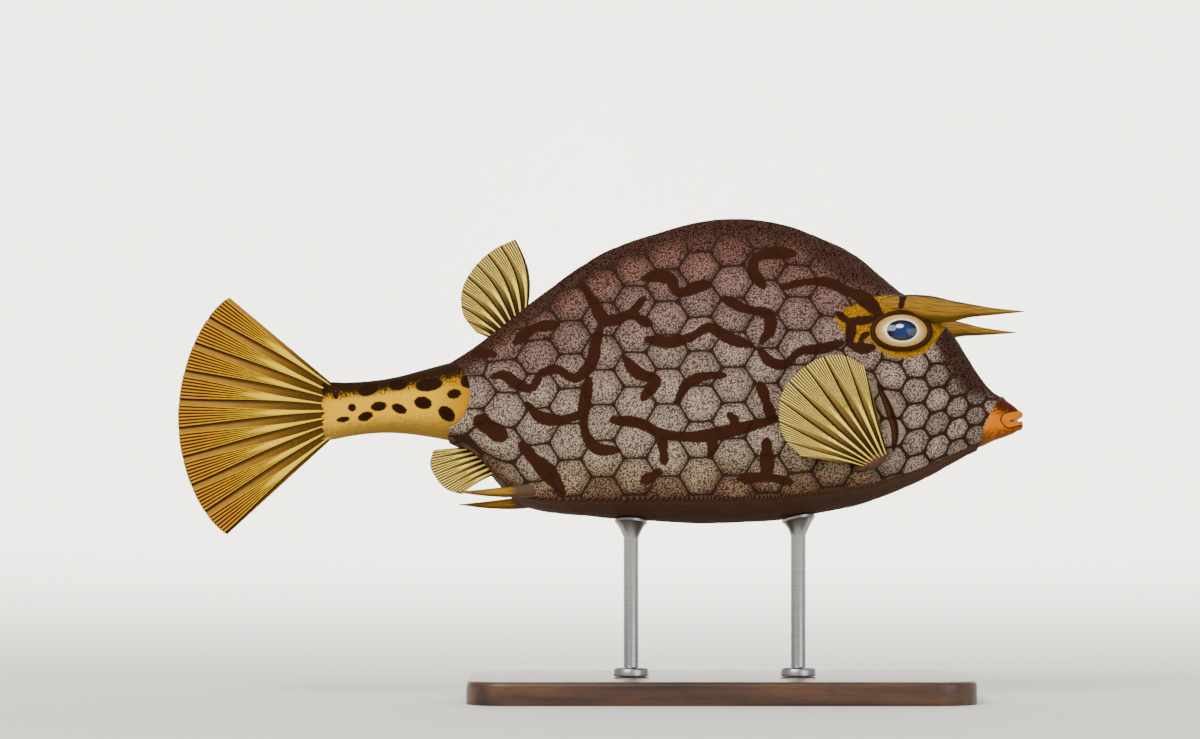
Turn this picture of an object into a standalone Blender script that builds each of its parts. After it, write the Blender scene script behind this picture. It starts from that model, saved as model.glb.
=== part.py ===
"""Scrawled cowfish at life size, swimming, held on a plain display stand.

The fish is shaped upright in its own frame, in millimetres: +X towards the mouth, +Y to its left and +Z up,
with its origin on the line from the mouth to the tip of the tail. It is then turned to metres, banked and
raised on the stand. In the finished model the floor is Z = 0 and the origin is the middle of the stand's
underside.
"""

import math
from collections import namedtuple
from functools import lru_cache

import bmesh
import bpy
import numpy as np
from mathutils import Matrix, Vector

# Driving sizes, in millimetres unless the name says otherwise
MM = 0.001
GAP = 0.3  # left between two nodes that meet
BANK_DEG = 9.0  # the fish leans its back away from the viewer at -Y
AXIS_HEIGHT = 95.0  # from the floor to the line from mouth to tail
MOUTH_X = 102.2
TAIL_TIP_X = -182.8

# The body's lines from tail to snout. back is the height of the ridge, keel that of the belly's edges, half
# their half width. The side leaves the ridge towards the shoulder and reaches the edge from the flank, each
# given as the distance out and the share of the height down. corner rounds the edge, and belly is how far the
# underside bulges.
Station = namedtuple(
    "Station", "x back keel half shoulder_out shoulder_drop flank_out flank_drop corner belly"
)
STATIONS = (
    Station(-104.0, 12.0, -1.0, 5.0, 5.0, 0.02, 7.0, 0.50, 4.0, -0.5),
    Station(-84.0, 24.0, -11.0, 8.5, 7.5, 0.03, 12.5, 0.50, 4.5, -1.5),
    Station(-66.0, 38.0, -27.0, 14.5, 7.5, 0.07, 16.0, 0.52, 4.5, 0.2),
    Station(-40.0, 56.5, -29.6, 22.5, 7.5, 0.08, 20.5, 0.55, 5.5, 2.2),
    Station(-23.0, 63.1, -30.1, 27.4, 8.0, 0.08, 23.4, 0.55, 6.0, 2.8),
    Station(-6.0, 67.8, -30.6, 30.0, 8.5, 0.08, 25.0, 0.55, 6.5, 3.1),
    Station(8.0, 68.6, -30.3, 29.6, 9.0, 0.075, 24.8, 0.54, 6.5, 3.0),
    Station(24.0, 66.1, -29.3, 28.5, 9.5, 0.07, 24.5, 0.53, 6.5, 2.8),
    Station(34.0, 62.0, -27.6, 25.8, 10.4, 0.05, 24.0, 0.50, 6.5, 2.5),
    Station(46.0, 56.0, -25.6, 21.5, 13.5, 0.03, 23.5, 0.46, 6.5, 2.2),
    Station(61.0, 42.4, -20.6, 16.0, 24.5, -0.03, 21.5, 0.38, 6.0, 1.8),
    Station(71.0, 36.0, -16.2, 12.5, 27.0, -0.06, 17.5, 0.42, 5.0, 1.6),
    Station(79.5, 26.6, -11.8, 9.0, 16.5, -0.01, 14.5, 0.42, 4.5, 1.2),
    Station(86.0, 16.6, -9.0, 7.2, 8.5, 0.0, 11.0, 0.48, 4.0, 0.8),
    Station(93.0, 9.2, -7.4, 6.0, 6.0, 0.0, 8.4, 0.50, 3.6, 0.5),
    Station(108.0, 5.0, -5.0, 4.6, 4.0, 0.0, 5.6, 0.50, 3.0, 0.0),
)
SIDE_STEPS, CORNER_STEPS, BELLY_STEPS = 30, 8, 10

# Bony plates: flat-topped hexagons in rings round the body, smaller towards the snout
PLATE_HEIGHTS = ((-84.0, 12.2), (20.0, 12.8), (46.0, 11.2), (62.0, 8.9), (80.0, 7.2), (95.0, 5.6))
PLATE_RISE = 0.55
PLATE_CROWN = 0.2  # more at the middle of each plate
# the share of a plate that slopes down to its border
SEAM_SHARES = ((-84.0, 0.12), (45.0, 0.14), (65.0, 0.19), (95.0, 0.19))
RING_PITCH = math.cos(math.radians(30))  # of a plate's height, for regular hexagons
NEAREST_TO_MIDLINE = 0.35  # of a plate's height
ON_MIDLINE_FROM = 0.85
# further back than this the rows keep level with a height, not with the belly's edge
LEVEL_FROM_X, LEVEL_Z = -50.0, 4.0
BEHIND_REAR_RIM, BEYOND_SNOUT_CUT = 20.0, 11.0  # the rings of plates reach this far past both cuts

# Where the carapace opens for the tail and the mouth, and where head meets torso
REAR_RIM_X = -84.0
HEAD_CUT = (Vector((54.3, 0.0, 0.0)), Vector((1.0, 0.0, 0.2)).normalized())
SNOUT_CUT = (Vector((90.9, 0.0, -0.4)), Vector((1.0, 0.0, -0.45)).normalized())

# Eye, lids and the smooth patch round them
EYE_X, EYE_Z = 61.0, 27.8
EYE_HALF_WIDTH, EYE_HALF_HEIGHT, EYE_HALF_DEPTH = 10.2, 7.2, 5.4
EYE_SUNK = 2.9
EYE_LOOKS_AHEAD = 0.05
LID_HALF_WIDTH, LID_HALF_HEIGHT, LID_RADIUS = 9.6, 6.6, 1.05
LID_LIFT = 0.45  # of its middle line off the skin
LID_STEPS, LID_SIDES = 24, 6
SMOOTH_PATCH = (11.6, 15.2)  # from the eye's middle: the plates begin to rise, and stand up in full

# Brow ridge and horn: x, half spacing, height and radius down one curved, tapered spike
HORN_LINE = (
    (48.0, 11.5, 36.0, 1.4),
    (54.5, 13.4, 37.0, 2.8),
    (62.4, 14.8, 37.0, 3.7),
    (69.5, 16.4, 35.6, 4.5),
    (77.0, 18.3, 34.5, 3.7),
    (83.0, 19.4, 34.5, 2.4),
    (89.0, 20.5, 34.1, 1.5),
    (101.6, 21.8, 33.8, 0.3),
)
HORN_ROOT_X = 78.0
HORN_STEPS, HORN_SIDES = 16, 12

# Spine at the rear end of each belly edge
SPINE_LINE = (
    (-52.0, 15.5, -25.6, 1.6),
    (-66.0, 14.6, -26.0, 2.1),
    (-77.0, 15.0, -26.4, 1.3),
    (-88.4, 15.6, -26.3, 0.25),
)
SPINE_ROOT_X = -67.5
SPINE_STEPS, SPINE_SIDES = 8, 8

# Face details
NOSTRIL = (76.0, 10.0)  # x and height
NOSTRIL_SIZE = (0.9, 1.7, 1.6)
NOSTRIL_SEGMENTS, NOSTRIL_RINGS = 10, 6
GILL_LINE = ((53.4, 9.0), (56.2, 0.8), (58.2, -7.0), (57.5, -13.0))
GILL_RADII = (0.35, 1.0, 1.2, 0.5)
GILL_LIFT = 0.1  # of the cutter's middle line off the skin
GILL_STEPS, GILL_SIDES = 9, 8

# Fleshy snout: x of the ring's middle, its height, half height, half width and forward lean of its top
SNOUT_RINGS = (
    (91.2, -0.4, 9.0, 7.9, -0.45),
    (94.4, 0.2, 6.8, 6.0, -0.30),
    (97.2, 0.2, 5.3, 4.9, -0.15),
    (99.0, 0.3, 3.6, 3.6, 0.0),
)
SNOUT_SIDES = 16
SNOUT_CREASE_DEG = 70.0
LIP_MIDDLE_X, LIP_REACH, LIP_HALF_WIDTH = 96.9, 3.9, 3.3
MOUTH_CORNER_Z, MOUTH_SLOPE = -0.9, 0.28
LIP_SPREAD_CORNER, LIP_SPREAD_FRONT = 1.0, 2.5
LIP_RADIUS_CORNER, LIP_RADIUS_FRONT = 1.1, 1.65
LIP_HALF_TURN_DEG = 100.0  # each lip ends a little behind the corners of the mouth
LIP_STEPS, LIP_SIDES = 11, 8
MOUTH_GAPE = 2.3
MOUTH_BEHIND_LIPS = 0.6  # how far behind the lips' middle the opening starts, as a slit
MOUTH_SLIT_HALF = 0.1
MOUTH_CUTTER_AHEAD, MOUTH_CUTTER_HALF_WIDTH = 4.0, 9.0  # well past the lips
TEETH_ACROSS, TEETH_HALF_TURN_DEG = 7, 48.0
TOOTH_RADIUS, TOOTH_TIP_RADIUS = 0.42, 0.25
TOOTH_REACH = 0.6  # past the lip's surface
TOOTH_SET_BACK, TOOTH_LEAN = 0.5, 0.15
TOOTH_SIDES = 5

# Tail stalk: x, height, half height and half width of its oval rings
STALK_RINGS = (
    (REAR_RIM_X - GAP, 6.7, 15.0, 9.2),
    (-91.5, 6.6, 13.2, 8.6),
    (-100.0, 6.2, 11.3, 7.4),
    (-109.0, 5.5, 9.6, 6.0),
    (-118.0, 4.7, 9.0, 4.6),
    (-126.0, 3.9, 9.3, 3.3),
    (-131.5, 3.4, 9.9, 2.2),
)
STALK_SIDES, STALK_STEPS = 18, 10

# Fins: membrane and rays are half thicknesses, at root and margin
MEMBRANE_HALF = 0.3
RAY_HALF_ROOT, RAY_HALF_TIP = 0.95, 0.45
RAY_HALF_WIDTH = 0.24  # of the spacing of the rays
RAY_SPLIT_FROM = 0.4  # of its length
# the sideways wave along the dorsal and anal fins' margins
UPRIGHT_WAVE_TURNS, UPRIGHT_WAVE_START = 1.1, 0.4

TAIL_FAN_MIDDLE = (-118.7, 1.9)
TAIL_FAN_RADIUS = TAIL_FAN_MIDDLE[0] - TAIL_TIP_X
TAIL_FAN_HALF_DEG, TAIL_CORNER_CUT = 40.6, 0.03
TAIL_ROOT_INSET = 0.4  # from the stalk's upper and lower edge
TAIL_RAYS, TAIL_ROWS, TAIL_SWAY = 10, 6, 1.5

DORSAL_ROOT = ((-65.4, 37.6), (-71.5, 33.2), (-77.8, 28.6))
DORSAL_MARGIN = ((-69.2, 62.4), (-76.6, 58.9), (-83.6, 51.9), (-87.3, 44.0), (-86.8, 36.5), (-82.2, 30.4))
DORSAL_RAYS, DORSAL_ROWS, DORSAL_BOW, DORSAL_SWAY = 10, 5, 2.6, 1.2

ANAL_ROOT = ((-75.6, -17.4), (-80.4, -13.2), (-84.2, -9.8))
ANAL_MARGIN = ((-87.2, -25.0), (-92.0, -23.4), (-95.6, -19.6), (-97.8, -14.6), (-96.6, -9.9))
ANAL_RAYS, ANAL_ROWS, ANAL_BOW, ANAL_SWAY = 9, 4, 0.6, -0.8

# The pectoral fin's outlines are x and height, and it stands off the flank
PECTORAL_ROOT = ((54.0, -13.6), (50.0, -16.4), (45.2, -18.8))
PECTORAL_MARGIN = (
    (47.6, 13.4),
    (40.1, 17.1),
    (32.0, 15.8),
    (25.6, 11.4),
    (20.2, 4.6),
    (18.9, -2.4),
    (20.8, -11.0),
    (26.5, -17.0),
)
PECTORAL_HALF_SPREAD = 33.5  # from the midline to the margin
PECTORAL_RAYS, PECTORAL_ROWS, PECTORAL_BOW = 11, 5, 1.6
PECTORAL_PAD_RADIUS, PECTORAL_PAD_END_RADIUS = 2.3, 0.7
PECTORAL_PAD_SHARES = (-0.16, 1.16)  # the pad's ends along the fin's root, a little past it
PECTORAL_PAD_STEPS, PECTORAL_PAD_SIDES = 9, 10

# Stand: base plate, and rods at these distances along it
BASE_LENGTH, BASE_WIDTH, BASE_THICKNESS = 170.0, 86.0, 9.0
BASE_CORNER, BASE_EDGE = 14.0, 1.6
BASE_CORNER_STEPS, BASE_EDGE_STEPS = 6, 2
ROD_PLACES = {"stand_rod_front": 26.0, "stand_rod_rear": -30.0}
ROD_RADIUS, FERRULE_RADIUS, FERRULE_HEIGHT, FERRULE_EDGE = 2.5, 6.0, 3.0, 0.8
ROD_PAD_RADIUS, ROD_PAD_THICKNESS, ROD_FLARE = 5.5, 1.2, 6.0  # the rod flares over its top 6 mm
ROD_SIDES = 16

# Fish frame to stand frame, both in millimetres
TO_STAND = Matrix.Translation((0, 0, AXIS_HEIGHT)) @ Matrix.Rotation(math.radians(-BANK_DEG), 4, "X")


MERGE = 0.002  # points closer than this become one
NEVER_ALONG = Vector((0.13, 0.21, 0.97))  # no tube runs this way

# Curves and sections


def monotone(knots):
    """A smooth function through (x, y) knots that never swings past them."""
    xs, ys = (np.array(column, float) for column in zip(*knots))
    steps = np.diff(ys) / np.diff(xs)
    slopes = np.concatenate([steps[:1], (steps[:-1] + steps[1:]) / 2, steps[-1:]])
    turning = steps[:-1] * steps[1:] <= 0
    slopes[1:-1][turning] = 0.0
    for i, step in enumerate(steps):
        for end in (i, i + 1):
            slopes[end] = math.copysign(min(abs(slopes[end]), 3 * abs(step)), slopes[end])

    def value(x):
        i = int(np.clip(np.searchsorted(xs, x) - 1, 0, len(steps) - 1))
        width = xs[i + 1] - xs[i]
        t = min(1.0, max(0.0, (x - xs[i]) / width))
        start = ys[i] * (1 + 2 * t) * (1 - t) ** 2 + slopes[i] * width * t * (1 - t) ** 2
        end = ys[i + 1] * t * t * (3 - 2 * t) + slopes[i + 1] * width * t * t * (t - 1)
        return float(start + end)

    return value


def bezier(controls, steps):
    """Points along a quadratic or cubic curve, both ends included."""
    controls = np.array(controls, float)
    degree = len(controls) - 1
    ts = np.linspace(0, 1, steps + 1)
    weights = [math.comb(degree, k) * ts**k * (1 - ts) ** (degree - k) for k in range(degree + 1)]
    return np.stack(weights, 1) @ controls


def spline(points):
    """A function of 0 to 1 along a smooth curve through points of any dimension."""
    points = np.array(points, float)
    lengths = np.concatenate([[0], np.cumsum(np.linalg.norm(np.diff(points, axis=0), axis=1))])
    tangents = np.gradient(points, lengths, axis=0)

    def value(share):
        s = share * lengths[-1]
        i = int(np.clip(np.searchsorted(lengths, s) - 1, 0, len(points) - 2))
        width = lengths[i + 1] - lengths[i]
        t = (s - lengths[i]) / width
        start = points[i] * (1 + 2 * t) * (1 - t) ** 2 + tangents[i] * width * t * (1 - t) ** 2
        end = points[i + 1] * t * t * (3 - 2 * t) + tangents[i + 1] * width * t * t * (t - 1)
        return start + end

    return value


LINES = {
    name: monotone([(station.x, getattr(station, name)) for station in STATIONS])
    for name in Station._fields[1:]
}
plate_height = monotone(PLATE_HEIGHTS)
seam_share = monotone(SEAM_SHARES)
Ring = namedtuple("Ring", "y z arc edge total")


@lru_cache(maxsize=None)
def half_ring(x):
    """The left half of the body's section at x, from the ridge round the edge to the belly's middle."""
    back, keel, half, shoulder_out, shoulder_drop, flank_out, flank_drop, corner, belly = (
        LINES[name](x) for name in Station._fields[1:]
    )
    height = back - keel
    flank = (flank_out, back - flank_drop * height)
    foot = (half, keel + corner)
    side = bezier([(0, back), (shoulder_out, back - shoulder_drop * height), flank, foot], SIDE_STEPS)
    flare = (foot[0] - flank[0]) / (flank[1] - foot[1]) * corner
    toe = half + flare - corner
    edge = bezier([foot, (half + flare, keel), (toe, keel)], CORNER_STEPS)
    share = np.linspace(0, 1, BELLY_STEPS + 1)
    under = np.stack([toe * (1 - share), keel - belly * (1 - (1 - share) ** 2) ** 2], 1)
    outline = np.concatenate([side[:-1], edge[:-1], under])
    arc = np.concatenate([[0], np.cumsum(np.linalg.norm(np.diff(outline, axis=0), axis=1))])
    return Ring(outline[:, 0], outline[:, 1], arc, arc[SIDE_STEPS + CORNER_STEPS // 2], arc[-1])


def skin_point(x, q):
    """The point of the body at x and at the distance q round it from the ridge, positive to the left."""
    ring = half_ring(round(x, 3))
    q = (q + ring.total) % (2 * ring.total) - ring.total
    y = float(np.interp(abs(q), ring.arc, ring.y))
    return Vector((x, math.copysign(y, q), float(np.interp(abs(q), ring.arc, ring.z))))


def skin_normal(x, q, reach=0.6):
    """The way out of the body there."""
    forward = skin_point(x + reach, q) - skin_point(x - reach, q)
    around = skin_point(x, q + reach) - skin_point(x, q - reach)
    return forward.cross(around).normalized()


def flank_q(x, z, side):
    """The distance round the body to the point of its flank at x and height z."""
    ring = half_ring(round(x, 3))
    top, bottom = int(np.argmax(ring.z)), SIDE_STEPS + CORNER_STEPS // 2
    return side * float(np.interp(-z, -ring.z[top:bottom], ring.arc[top:bottom]))


def off_flank(x, z, side, distance):
    """A point at a distance out from the flank at x and height z."""
    q = flank_q(x, z, side)
    return skin_point(x, q) + skin_normal(x, q) * distance


# Meshes and objects


def material(name, colour, roughness, metallic=0.0):
    """A plain finish. The colour is linear red, green and blue."""
    made = bpy.data.materials.new(name)
    made.use_nodes = True
    shader = made.node_tree.nodes["Principled BSDF"]
    shader.inputs["Base Color"].default_value = (*colour, 1.0)
    shader.inputs["Roughness"].default_value = roughness
    shader.inputs["Metallic"].default_value = metallic
    return made


def closed_out(bm):
    """Makes every face point outwards and drops faces with no area."""
    bmesh.ops.remove_doubles(bm, verts=bm.verts, dist=MERGE)
    bmesh.ops.dissolve_degenerate(bm, edges=bm.edges, dist=MERGE)
    bmesh.ops.recalc_face_normals(bm, faces=bm.faces)
    return bm


def to_object(bm, name):
    """A new object from this mesh, still in millimetres."""
    mesh = bpy.data.meshes.new(name)
    closed_out(bm).to_mesh(mesh)
    bm.free()
    made = bpy.data.objects.new(name, mesh)
    bpy.context.scene.collection.objects.link(made)
    return made


def loft(rings):
    """A closed tube through rings with the same number of points, with a flat fan over each end."""
    bm = bmesh.new()
    loops = [[bm.verts.new(point) for point in ring] for ring in rings]
    for near, far in zip(loops, loops[1:]):
        for k in range(len(near)):
            bm.faces.new((near[k - 1], near[k], far[k], far[k - 1]))
    for loop in (loops[0], loops[-1]):
        middle = bm.verts.new(sum((vert.co for vert in loop), Vector()) / len(loop))
        for k in range(len(loop)):
            bm.faces.new((loop[k - 1], loop[k], middle))
    return closed_out(bm)


def taper_tube(line, radii, sides=10):
    """A closed round tube along a line of points, with a radius at each."""
    rings = []
    for i, (point, radius) in enumerate(zip(line, radii)):
        tangent = (line[min(i + 1, len(line) - 1)] - line[max(i - 1, 0)]).normalized()
        across = tangent.cross(NEVER_ALONG).normalized()
        up = across.cross(tangent)
        turns = [2 * math.pi * k / sides for k in range(sides)]
        rings.append([point + (across * math.cos(a) + up * math.sin(a)) * radius for a in turns])
    return loft(rings)


def smooth_tube(stops, count, sides=10):
    """A taper_tube through (x, y, z, radius) stops, read at count places along a smooth curve."""
    curve = spline(stops)
    reads = [curve(k / (count - 1)) for k in range(count)]
    return taper_tube([Vector(read[:3]) for read in reads], [max(0.15, read[3]) for read in reads], sides)


def ellipsoid(centre, out, half_width, half_height, half_depth, segments=16, rings=8):
    """A ball stretched along the fish, up it and along the way out of it."""
    bm = bmesh.new()
    bmesh.ops.create_uvsphere(bm, u_segments=segments, v_segments=rings, radius=1.0)
    along = (Vector((1, 0, 0)) - out * out.x).normalized()
    turn = Matrix((along, out.cross(along), out)).transposed().to_4x4()
    place = Matrix.Translation(centre) @ turn @ Matrix.Diagonal((half_width, half_height, half_depth, 1.0))
    bmesh.ops.transform(bm, matrix=place, verts=bm.verts)
    return bm


def cut_away(bm, plane, shift=0.0):
    """Cuts off what lies beyond a plane, moved by shift along its normal, and closes the cut."""
    point, normal = plane[0] + plane[1] * shift, plane[1]
    everything = bm.verts[:] + bm.edges[:] + bm.faces[:]
    bmesh.ops.bisect_plane(bm, geom=everything, plane_co=point, plane_no=normal, clear_outer=True)
    rim = [
        edge
        for edge in bm.edges
        if edge.is_boundary and all(abs((vert.co - point).dot(normal)) < 1e-3 for vert in edge.verts)
    ]
    bmesh.ops.triangle_fill(bm, edges=rim, use_beauty=True, normal=normal)
    return bm


def flipped(plane):
    """The same plane facing the other way."""
    return plane[0], -plane[1]


def across_x(x, forward=True):
    """The plane at x, facing the mouth or the tail."""
    return Vector((x, 0, 0)), Vector((1 if forward else -1, 0, 0))


def largest_only(obj):
    """Keeps an object's largest closed surface."""
    bm = bmesh.new()
    bm.from_mesh(obj.data)
    left, islands = set(bm.faces), []
    while left:
        island, edge_faces = set(), [next(iter(left))]
        while edge_faces:
            face = edge_faces.pop()
            if face in left:
                left.discard(face)
                island.add(face)
                edge_faces += [other for edge in face.edges for other in edge.link_faces]
        islands.append(island)
    islands.sort(key=lambda island: sum(face.calc_area() for face in island))
    drop = [face for island in islands[:-1] for face in island]
    bmesh.ops.delete(bm, geom=drop, context="FACES")
    closed_out(bm).to_mesh(obj.data)
    bm.free()


def combine(obj, meshes, operation):
    """Joins meshes to the object, or cuts them from it, in one Boolean, and keeps the largest surface."""
    pieces = bpy.data.collections.new("pieces")
    for number, bm in enumerate(meshes):
        piece = to_object(bm, f"piece_{number}")
        bpy.context.scene.collection.objects.unlink(piece)
        pieces.objects.link(piece)
    step = obj.modifiers.new("combine", "BOOLEAN")
    step.operation, step.operand_type, step.collection, step.solver = operation, "COLLECTION", pieces, "EXACT"
    bpy.context.view_layer.update()
    result = bpy.data.meshes.new_from_object(obj.evaluated_get(bpy.context.evaluated_depsgraph_get()))
    obj.modifiers.clear()
    obj.data = result
    for piece in list(pieces.objects):
        bpy.data.objects.remove(piece)
    bpy.data.collections.remove(pieces)
    largest_only(obj)


def finish(obj, finish_material, parent, crease_deg=40.0):
    """Turns a shaped object to metres, dresses it and hangs it on its parent."""
    obj.data.transform(Matrix.Scale(MM, 4))
    obj.data.materials.clear()
    obj.data.materials.append(finish_material)
    obj.data.shade_smooth()
    obj.data.set_sharp_from_angle(angle=math.radians(crease_deg))
    obj.parent = parent


# Carapace


@lru_cache(maxsize=None)
def row_line(x):
    """The distance from the ridge to the line that the rows of plates are counted from: the belly's edge, and
    further back a line that keeps level while the edge climbs to the tail."""
    if x >= LEVEL_FROM_X:
        return half_ring(round(x, 3)).edge
    below = half_ring(LEVEL_FROM_X).edge - flank_q(LEVEL_FROM_X, LEVEL_Z, 1)
    return flank_q(x, LEVEL_Z, 1) + below


def half_row(x, on_line):
    """Plate centres down the left half of one ring, as distances from the ridge. Every second ring has one on
    the row line. A plate lies on the midline where there is room for it."""
    ring, height = half_ring(round(x, 3)), plate_height(x)
    first = (row_line(x) + (0.0 if on_line else 0.5 * height)) % height
    least, most = NEAREST_TO_MIDLINE * height, ring.total - NEAREST_TO_MIDLINE * height
    row = [float(q) for q in np.arange(first, most, height) if q >= least]
    if row[0] >= ON_MIDLINE_FROM * height:
        row.insert(0, 0.0)
    if ring.total - row[-1] >= ON_MIDLINE_FROM * height:
        row.append(ring.total)
    return row


def plate_centres():
    """Rings of plate centres from tail to snout, reaching past both rims: a list of (x, half row)."""
    x, rings = REAR_RIM_X - BEHIND_REAR_RIM, []
    while x < SNOUT_CUT[0].x + BEYOND_SNOUT_CUT:
        rings.append((x, half_row(x, len(rings) % 2 == 0)))
        x += RING_PITCH * plate_height(x)
    return rings


def corner_between(centres):
    """Where the borders between three plates meet, as x and distance from the ridge. centres are (x, q) with
    no sign, all on one side of the body. They are averaged from the ridge near it, and from the belly's
    middle near that."""
    count = len(centres)
    x = sum(cx for cx, _ in centres) / count
    totals = [half_ring(round(cx, 3)).total for cx, _ in centres]
    from_ridge = sum(q for _, q in centres) / count
    from_belly = sum(total - q for total, (_, q) in zip(totals, centres)) / count
    share = sum(q / total for total, (_, q) in zip(totals, centres)) / count
    return x, (1 - share) * from_ridge + share * (half_ring(round(x, 3)).total - from_belly)


def plate_corners(rings):
    """Joins neighbouring rings in a zigzag. Returns, for each plate as (ring, place, side), the border
    corners round it, each as (x, signed distance from the ridge)."""
    corners = {}

    def note(x, q, plates):
        for plate in plates:
            corners.setdefault(plate, []).append((x, q))

    for i, ((xa, row_a), (xb, row_b)) in enumerate(zip(rings, rings[1:])):
        above_a = [row_line(xa) - q for q in row_a]
        above_b = [row_line(xb) - q for q in row_b]
        total_a, total_b = half_ring(round(xa, 3)).total, half_ring(round(xb, 3)).total
        a = b = 0
        while a < len(row_a) - 1 or b < len(row_b) - 1:
            step_a = b == len(row_b) - 1 or (a < len(row_a) - 1 and above_a[a + 1] >= above_b[b + 1])
            new = (i, a + 1) if step_a else (i + 1, b + 1)
            three = [(i, a), (i + 1, b), new]
            x, q = corner_between([(rings[r][0], rings[r][1][k]) for r, k in three])
            for side in (1, -1):
                middles = {0.0, total_a, total_b}
                plates = [(r, k, 0 if rings[r][1][k] in middles else side) for r, k in three]
                note(x, side * q, plates)
            a, b = (a + 1, b) if step_a else (a, b + 1)
        # and one corner on the ridge and one on the belly's midline
        for ka, kb, on_a, on_b in (
            (0, 0, row_a[0] == 0.0, row_b[0] == 0.0),
            (len(row_a) - 1, len(row_b) - 1, row_a[-1] == total_a, row_b[-1] == total_b),
        ):
            plates = [(i, ka, 0)] if on_a else [(i, ka, 1), (i, ka, -1)]
            plates += [(i + 1, kb, 0)] if on_b else [(i + 1, kb, 1), (i + 1, kb, -1)]
            x = sum(rings[r][0] for r, _, _ in plates) / len(plates)
            note(x, 0.0 if ka == 0 else half_ring(round(x, 3)).total, plates)
    return corners


def rise_at(point):
    """How far the plates stand up here: not at all on the smooth patch round the eye."""
    to_eye = (Vector((point.x, 0, point.z)) - Vector((EYE_X, 0, EYE_Z))).length
    flat, full = SMOOTH_PATCH
    return PLATE_RISE * min(1.0, max(0.0, (to_eye - flat) / (full - flat)))


def carapace():
    """The whole armour as an open tube of raised hexagonal plates."""
    rings = plate_centres()
    bm = bmesh.new()
    border_verts = {}
    for (i, place, side), corners in sorted(plate_corners(rings).items()):
        if i in (0, len(rings) - 1):
            continue
        x, q = rings[i][0], (side or 1) * rings[i][1][place]
        centre, normal = skin_point(x, q), skin_normal(x, q)
        total = half_ring(round(x, 3)).total

        def bearing(corner):
            around = corner[1] / half_ring(round(corner[0], 3)).total - q / total
            return math.atan2(((around + 1) % 2 - 1) * total, corner[0] - x)

        rim, top = [], []
        for corner in sorted(set(corners), key=bearing):
            point = skin_point(*corner)
            key = tuple(round(value, 2) for value in point)
            if key not in border_verts:
                border_verts[key] = bm.verts.new(point)
            rim.append(border_verts[key])
            inner = point.lerp(centre, seam_share(x))
            top.append(bm.verts.new(inner + skin_normal(*corner) * rise_at(inner)))
        middle = bm.verts.new(centre + normal * (rise_at(centre) + PLATE_CROWN))
        for k in range(len(rim)):
            bm.faces.new((rim[k - 1], rim[k], top[k], top[k - 1]))
            bm.faces.new((top[k - 1], top[k], middle))
    return bm


def eye_place(side):
    """Where the eye's middle is, and the way it looks."""
    q = flank_q(EYE_X, EYE_Z, side)
    looks = (skin_normal(EYE_X, q) + Vector((EYE_LOOKS_AHEAD, side, 0))).normalized()
    return skin_point(EYE_X, q) - looks * EYE_SUNK, looks


def lid_ring(side):
    """The swollen oval rim of the eye, lying on the head."""
    line = []
    for k in range(LID_STEPS + 1):
        turn = 2 * math.pi * k / LID_STEPS
        x, z = EYE_X + LID_HALF_WIDTH * math.cos(turn), EYE_Z + LID_HALF_HEIGHT * math.sin(turn)
        line.append(off_flank(x, z, side, LID_LIFT))
    rings = []
    for k in range(LID_STEPS):
        tangent = (line[k + 1] - line[k - 1 if k else LID_STEPS - 1]).normalized()
        outward = (line[k] - eye_place(side)[0]).normalized()
        across = tangent.cross(outward).normalized()
        turns = [2 * math.pi * j / LID_SIDES for j in range(LID_SIDES)]
        rings.append([line[k] + (across * math.cos(a) + outward * math.sin(a)) * LID_RADIUS for a in turns])
    bm = bmesh.new()
    loops = [[bm.verts.new(point) for point in ring] for ring in rings]
    for k in range(LID_STEPS):
        for j in range(LID_SIDES):
            bm.faces.new((loops[k - 1][j - 1], loops[k - 1][j], loops[k][j], loops[k][j - 1]))
    return closed_out(bm)


def mirrored(stops, side):
    """Stops of a left-hand line, moved to either side of the fish."""
    return [(x, side * y, *rest) for x, y, *rest in stops]


def horn_tube(side):
    """The brow ridge and horn of one side, whole."""
    return smooth_tube(mirrored(HORN_LINE, side), HORN_STEPS, HORN_SIDES)


def spine_tube(side):
    """The spine at the end of one belly edge, with its root, whole."""
    return smooth_tube(mirrored(SPINE_LINE, side), SPINE_STEPS, SPINE_SIDES)


def gill_groove(side):
    """A cutter for the gill opening: a slender crescent lying in the skin."""
    stops = [(*off_flank(x, z, side, GILL_LIFT), r) for (x, z), r in zip(GILL_LINE, GILL_RADII)]
    return smooth_tube(stops, GILL_STEPS, GILL_SIDES)


def nostril_pit(side):
    """A cutter for the nostril: a small upright oval pit."""
    x, z = NOSTRIL
    out = skin_normal(x, flank_q(x, z, side))
    middle = off_flank(x, z, side, PLATE_RISE)
    return ellipsoid(middle, out, *NOSTRIL_SIZE, NOSTRIL_SEGMENTS, NOSTRIL_RINGS)


def make_head(bone, fish):
    """Armour in front of the gills, with brows, lids, sockets, gill openings and nostrils."""
    bm = cut_away(carapace(), flipped(HEAD_CUT), -GAP / 2)
    head = to_object(cut_away(bm, SNOUT_CUT), "head")
    brows = [cut_away(horn_tube(side), across_x(HORN_ROOT_X), -GAP / 2) for side in (1, -1)]
    brows = [cut_away(brow, flipped(HEAD_CUT), -GAP / 2) for brow in brows]
    combine(head, brows + [lid_ring(side) for side in (1, -1)], "UNION")
    cutters = []
    for side in (1, -1):
        middle, looks = eye_place(side)
        cutters += [
            ellipsoid(middle, looks, EYE_HALF_WIDTH + GAP, EYE_HALF_HEIGHT + GAP, EYE_HALF_DEPTH + GAP),
            gill_groove(side),
            nostril_pit(side),
        ]
    combine(head, cutters, "DIFFERENCE")
    finish(head, bone, fish)


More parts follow.
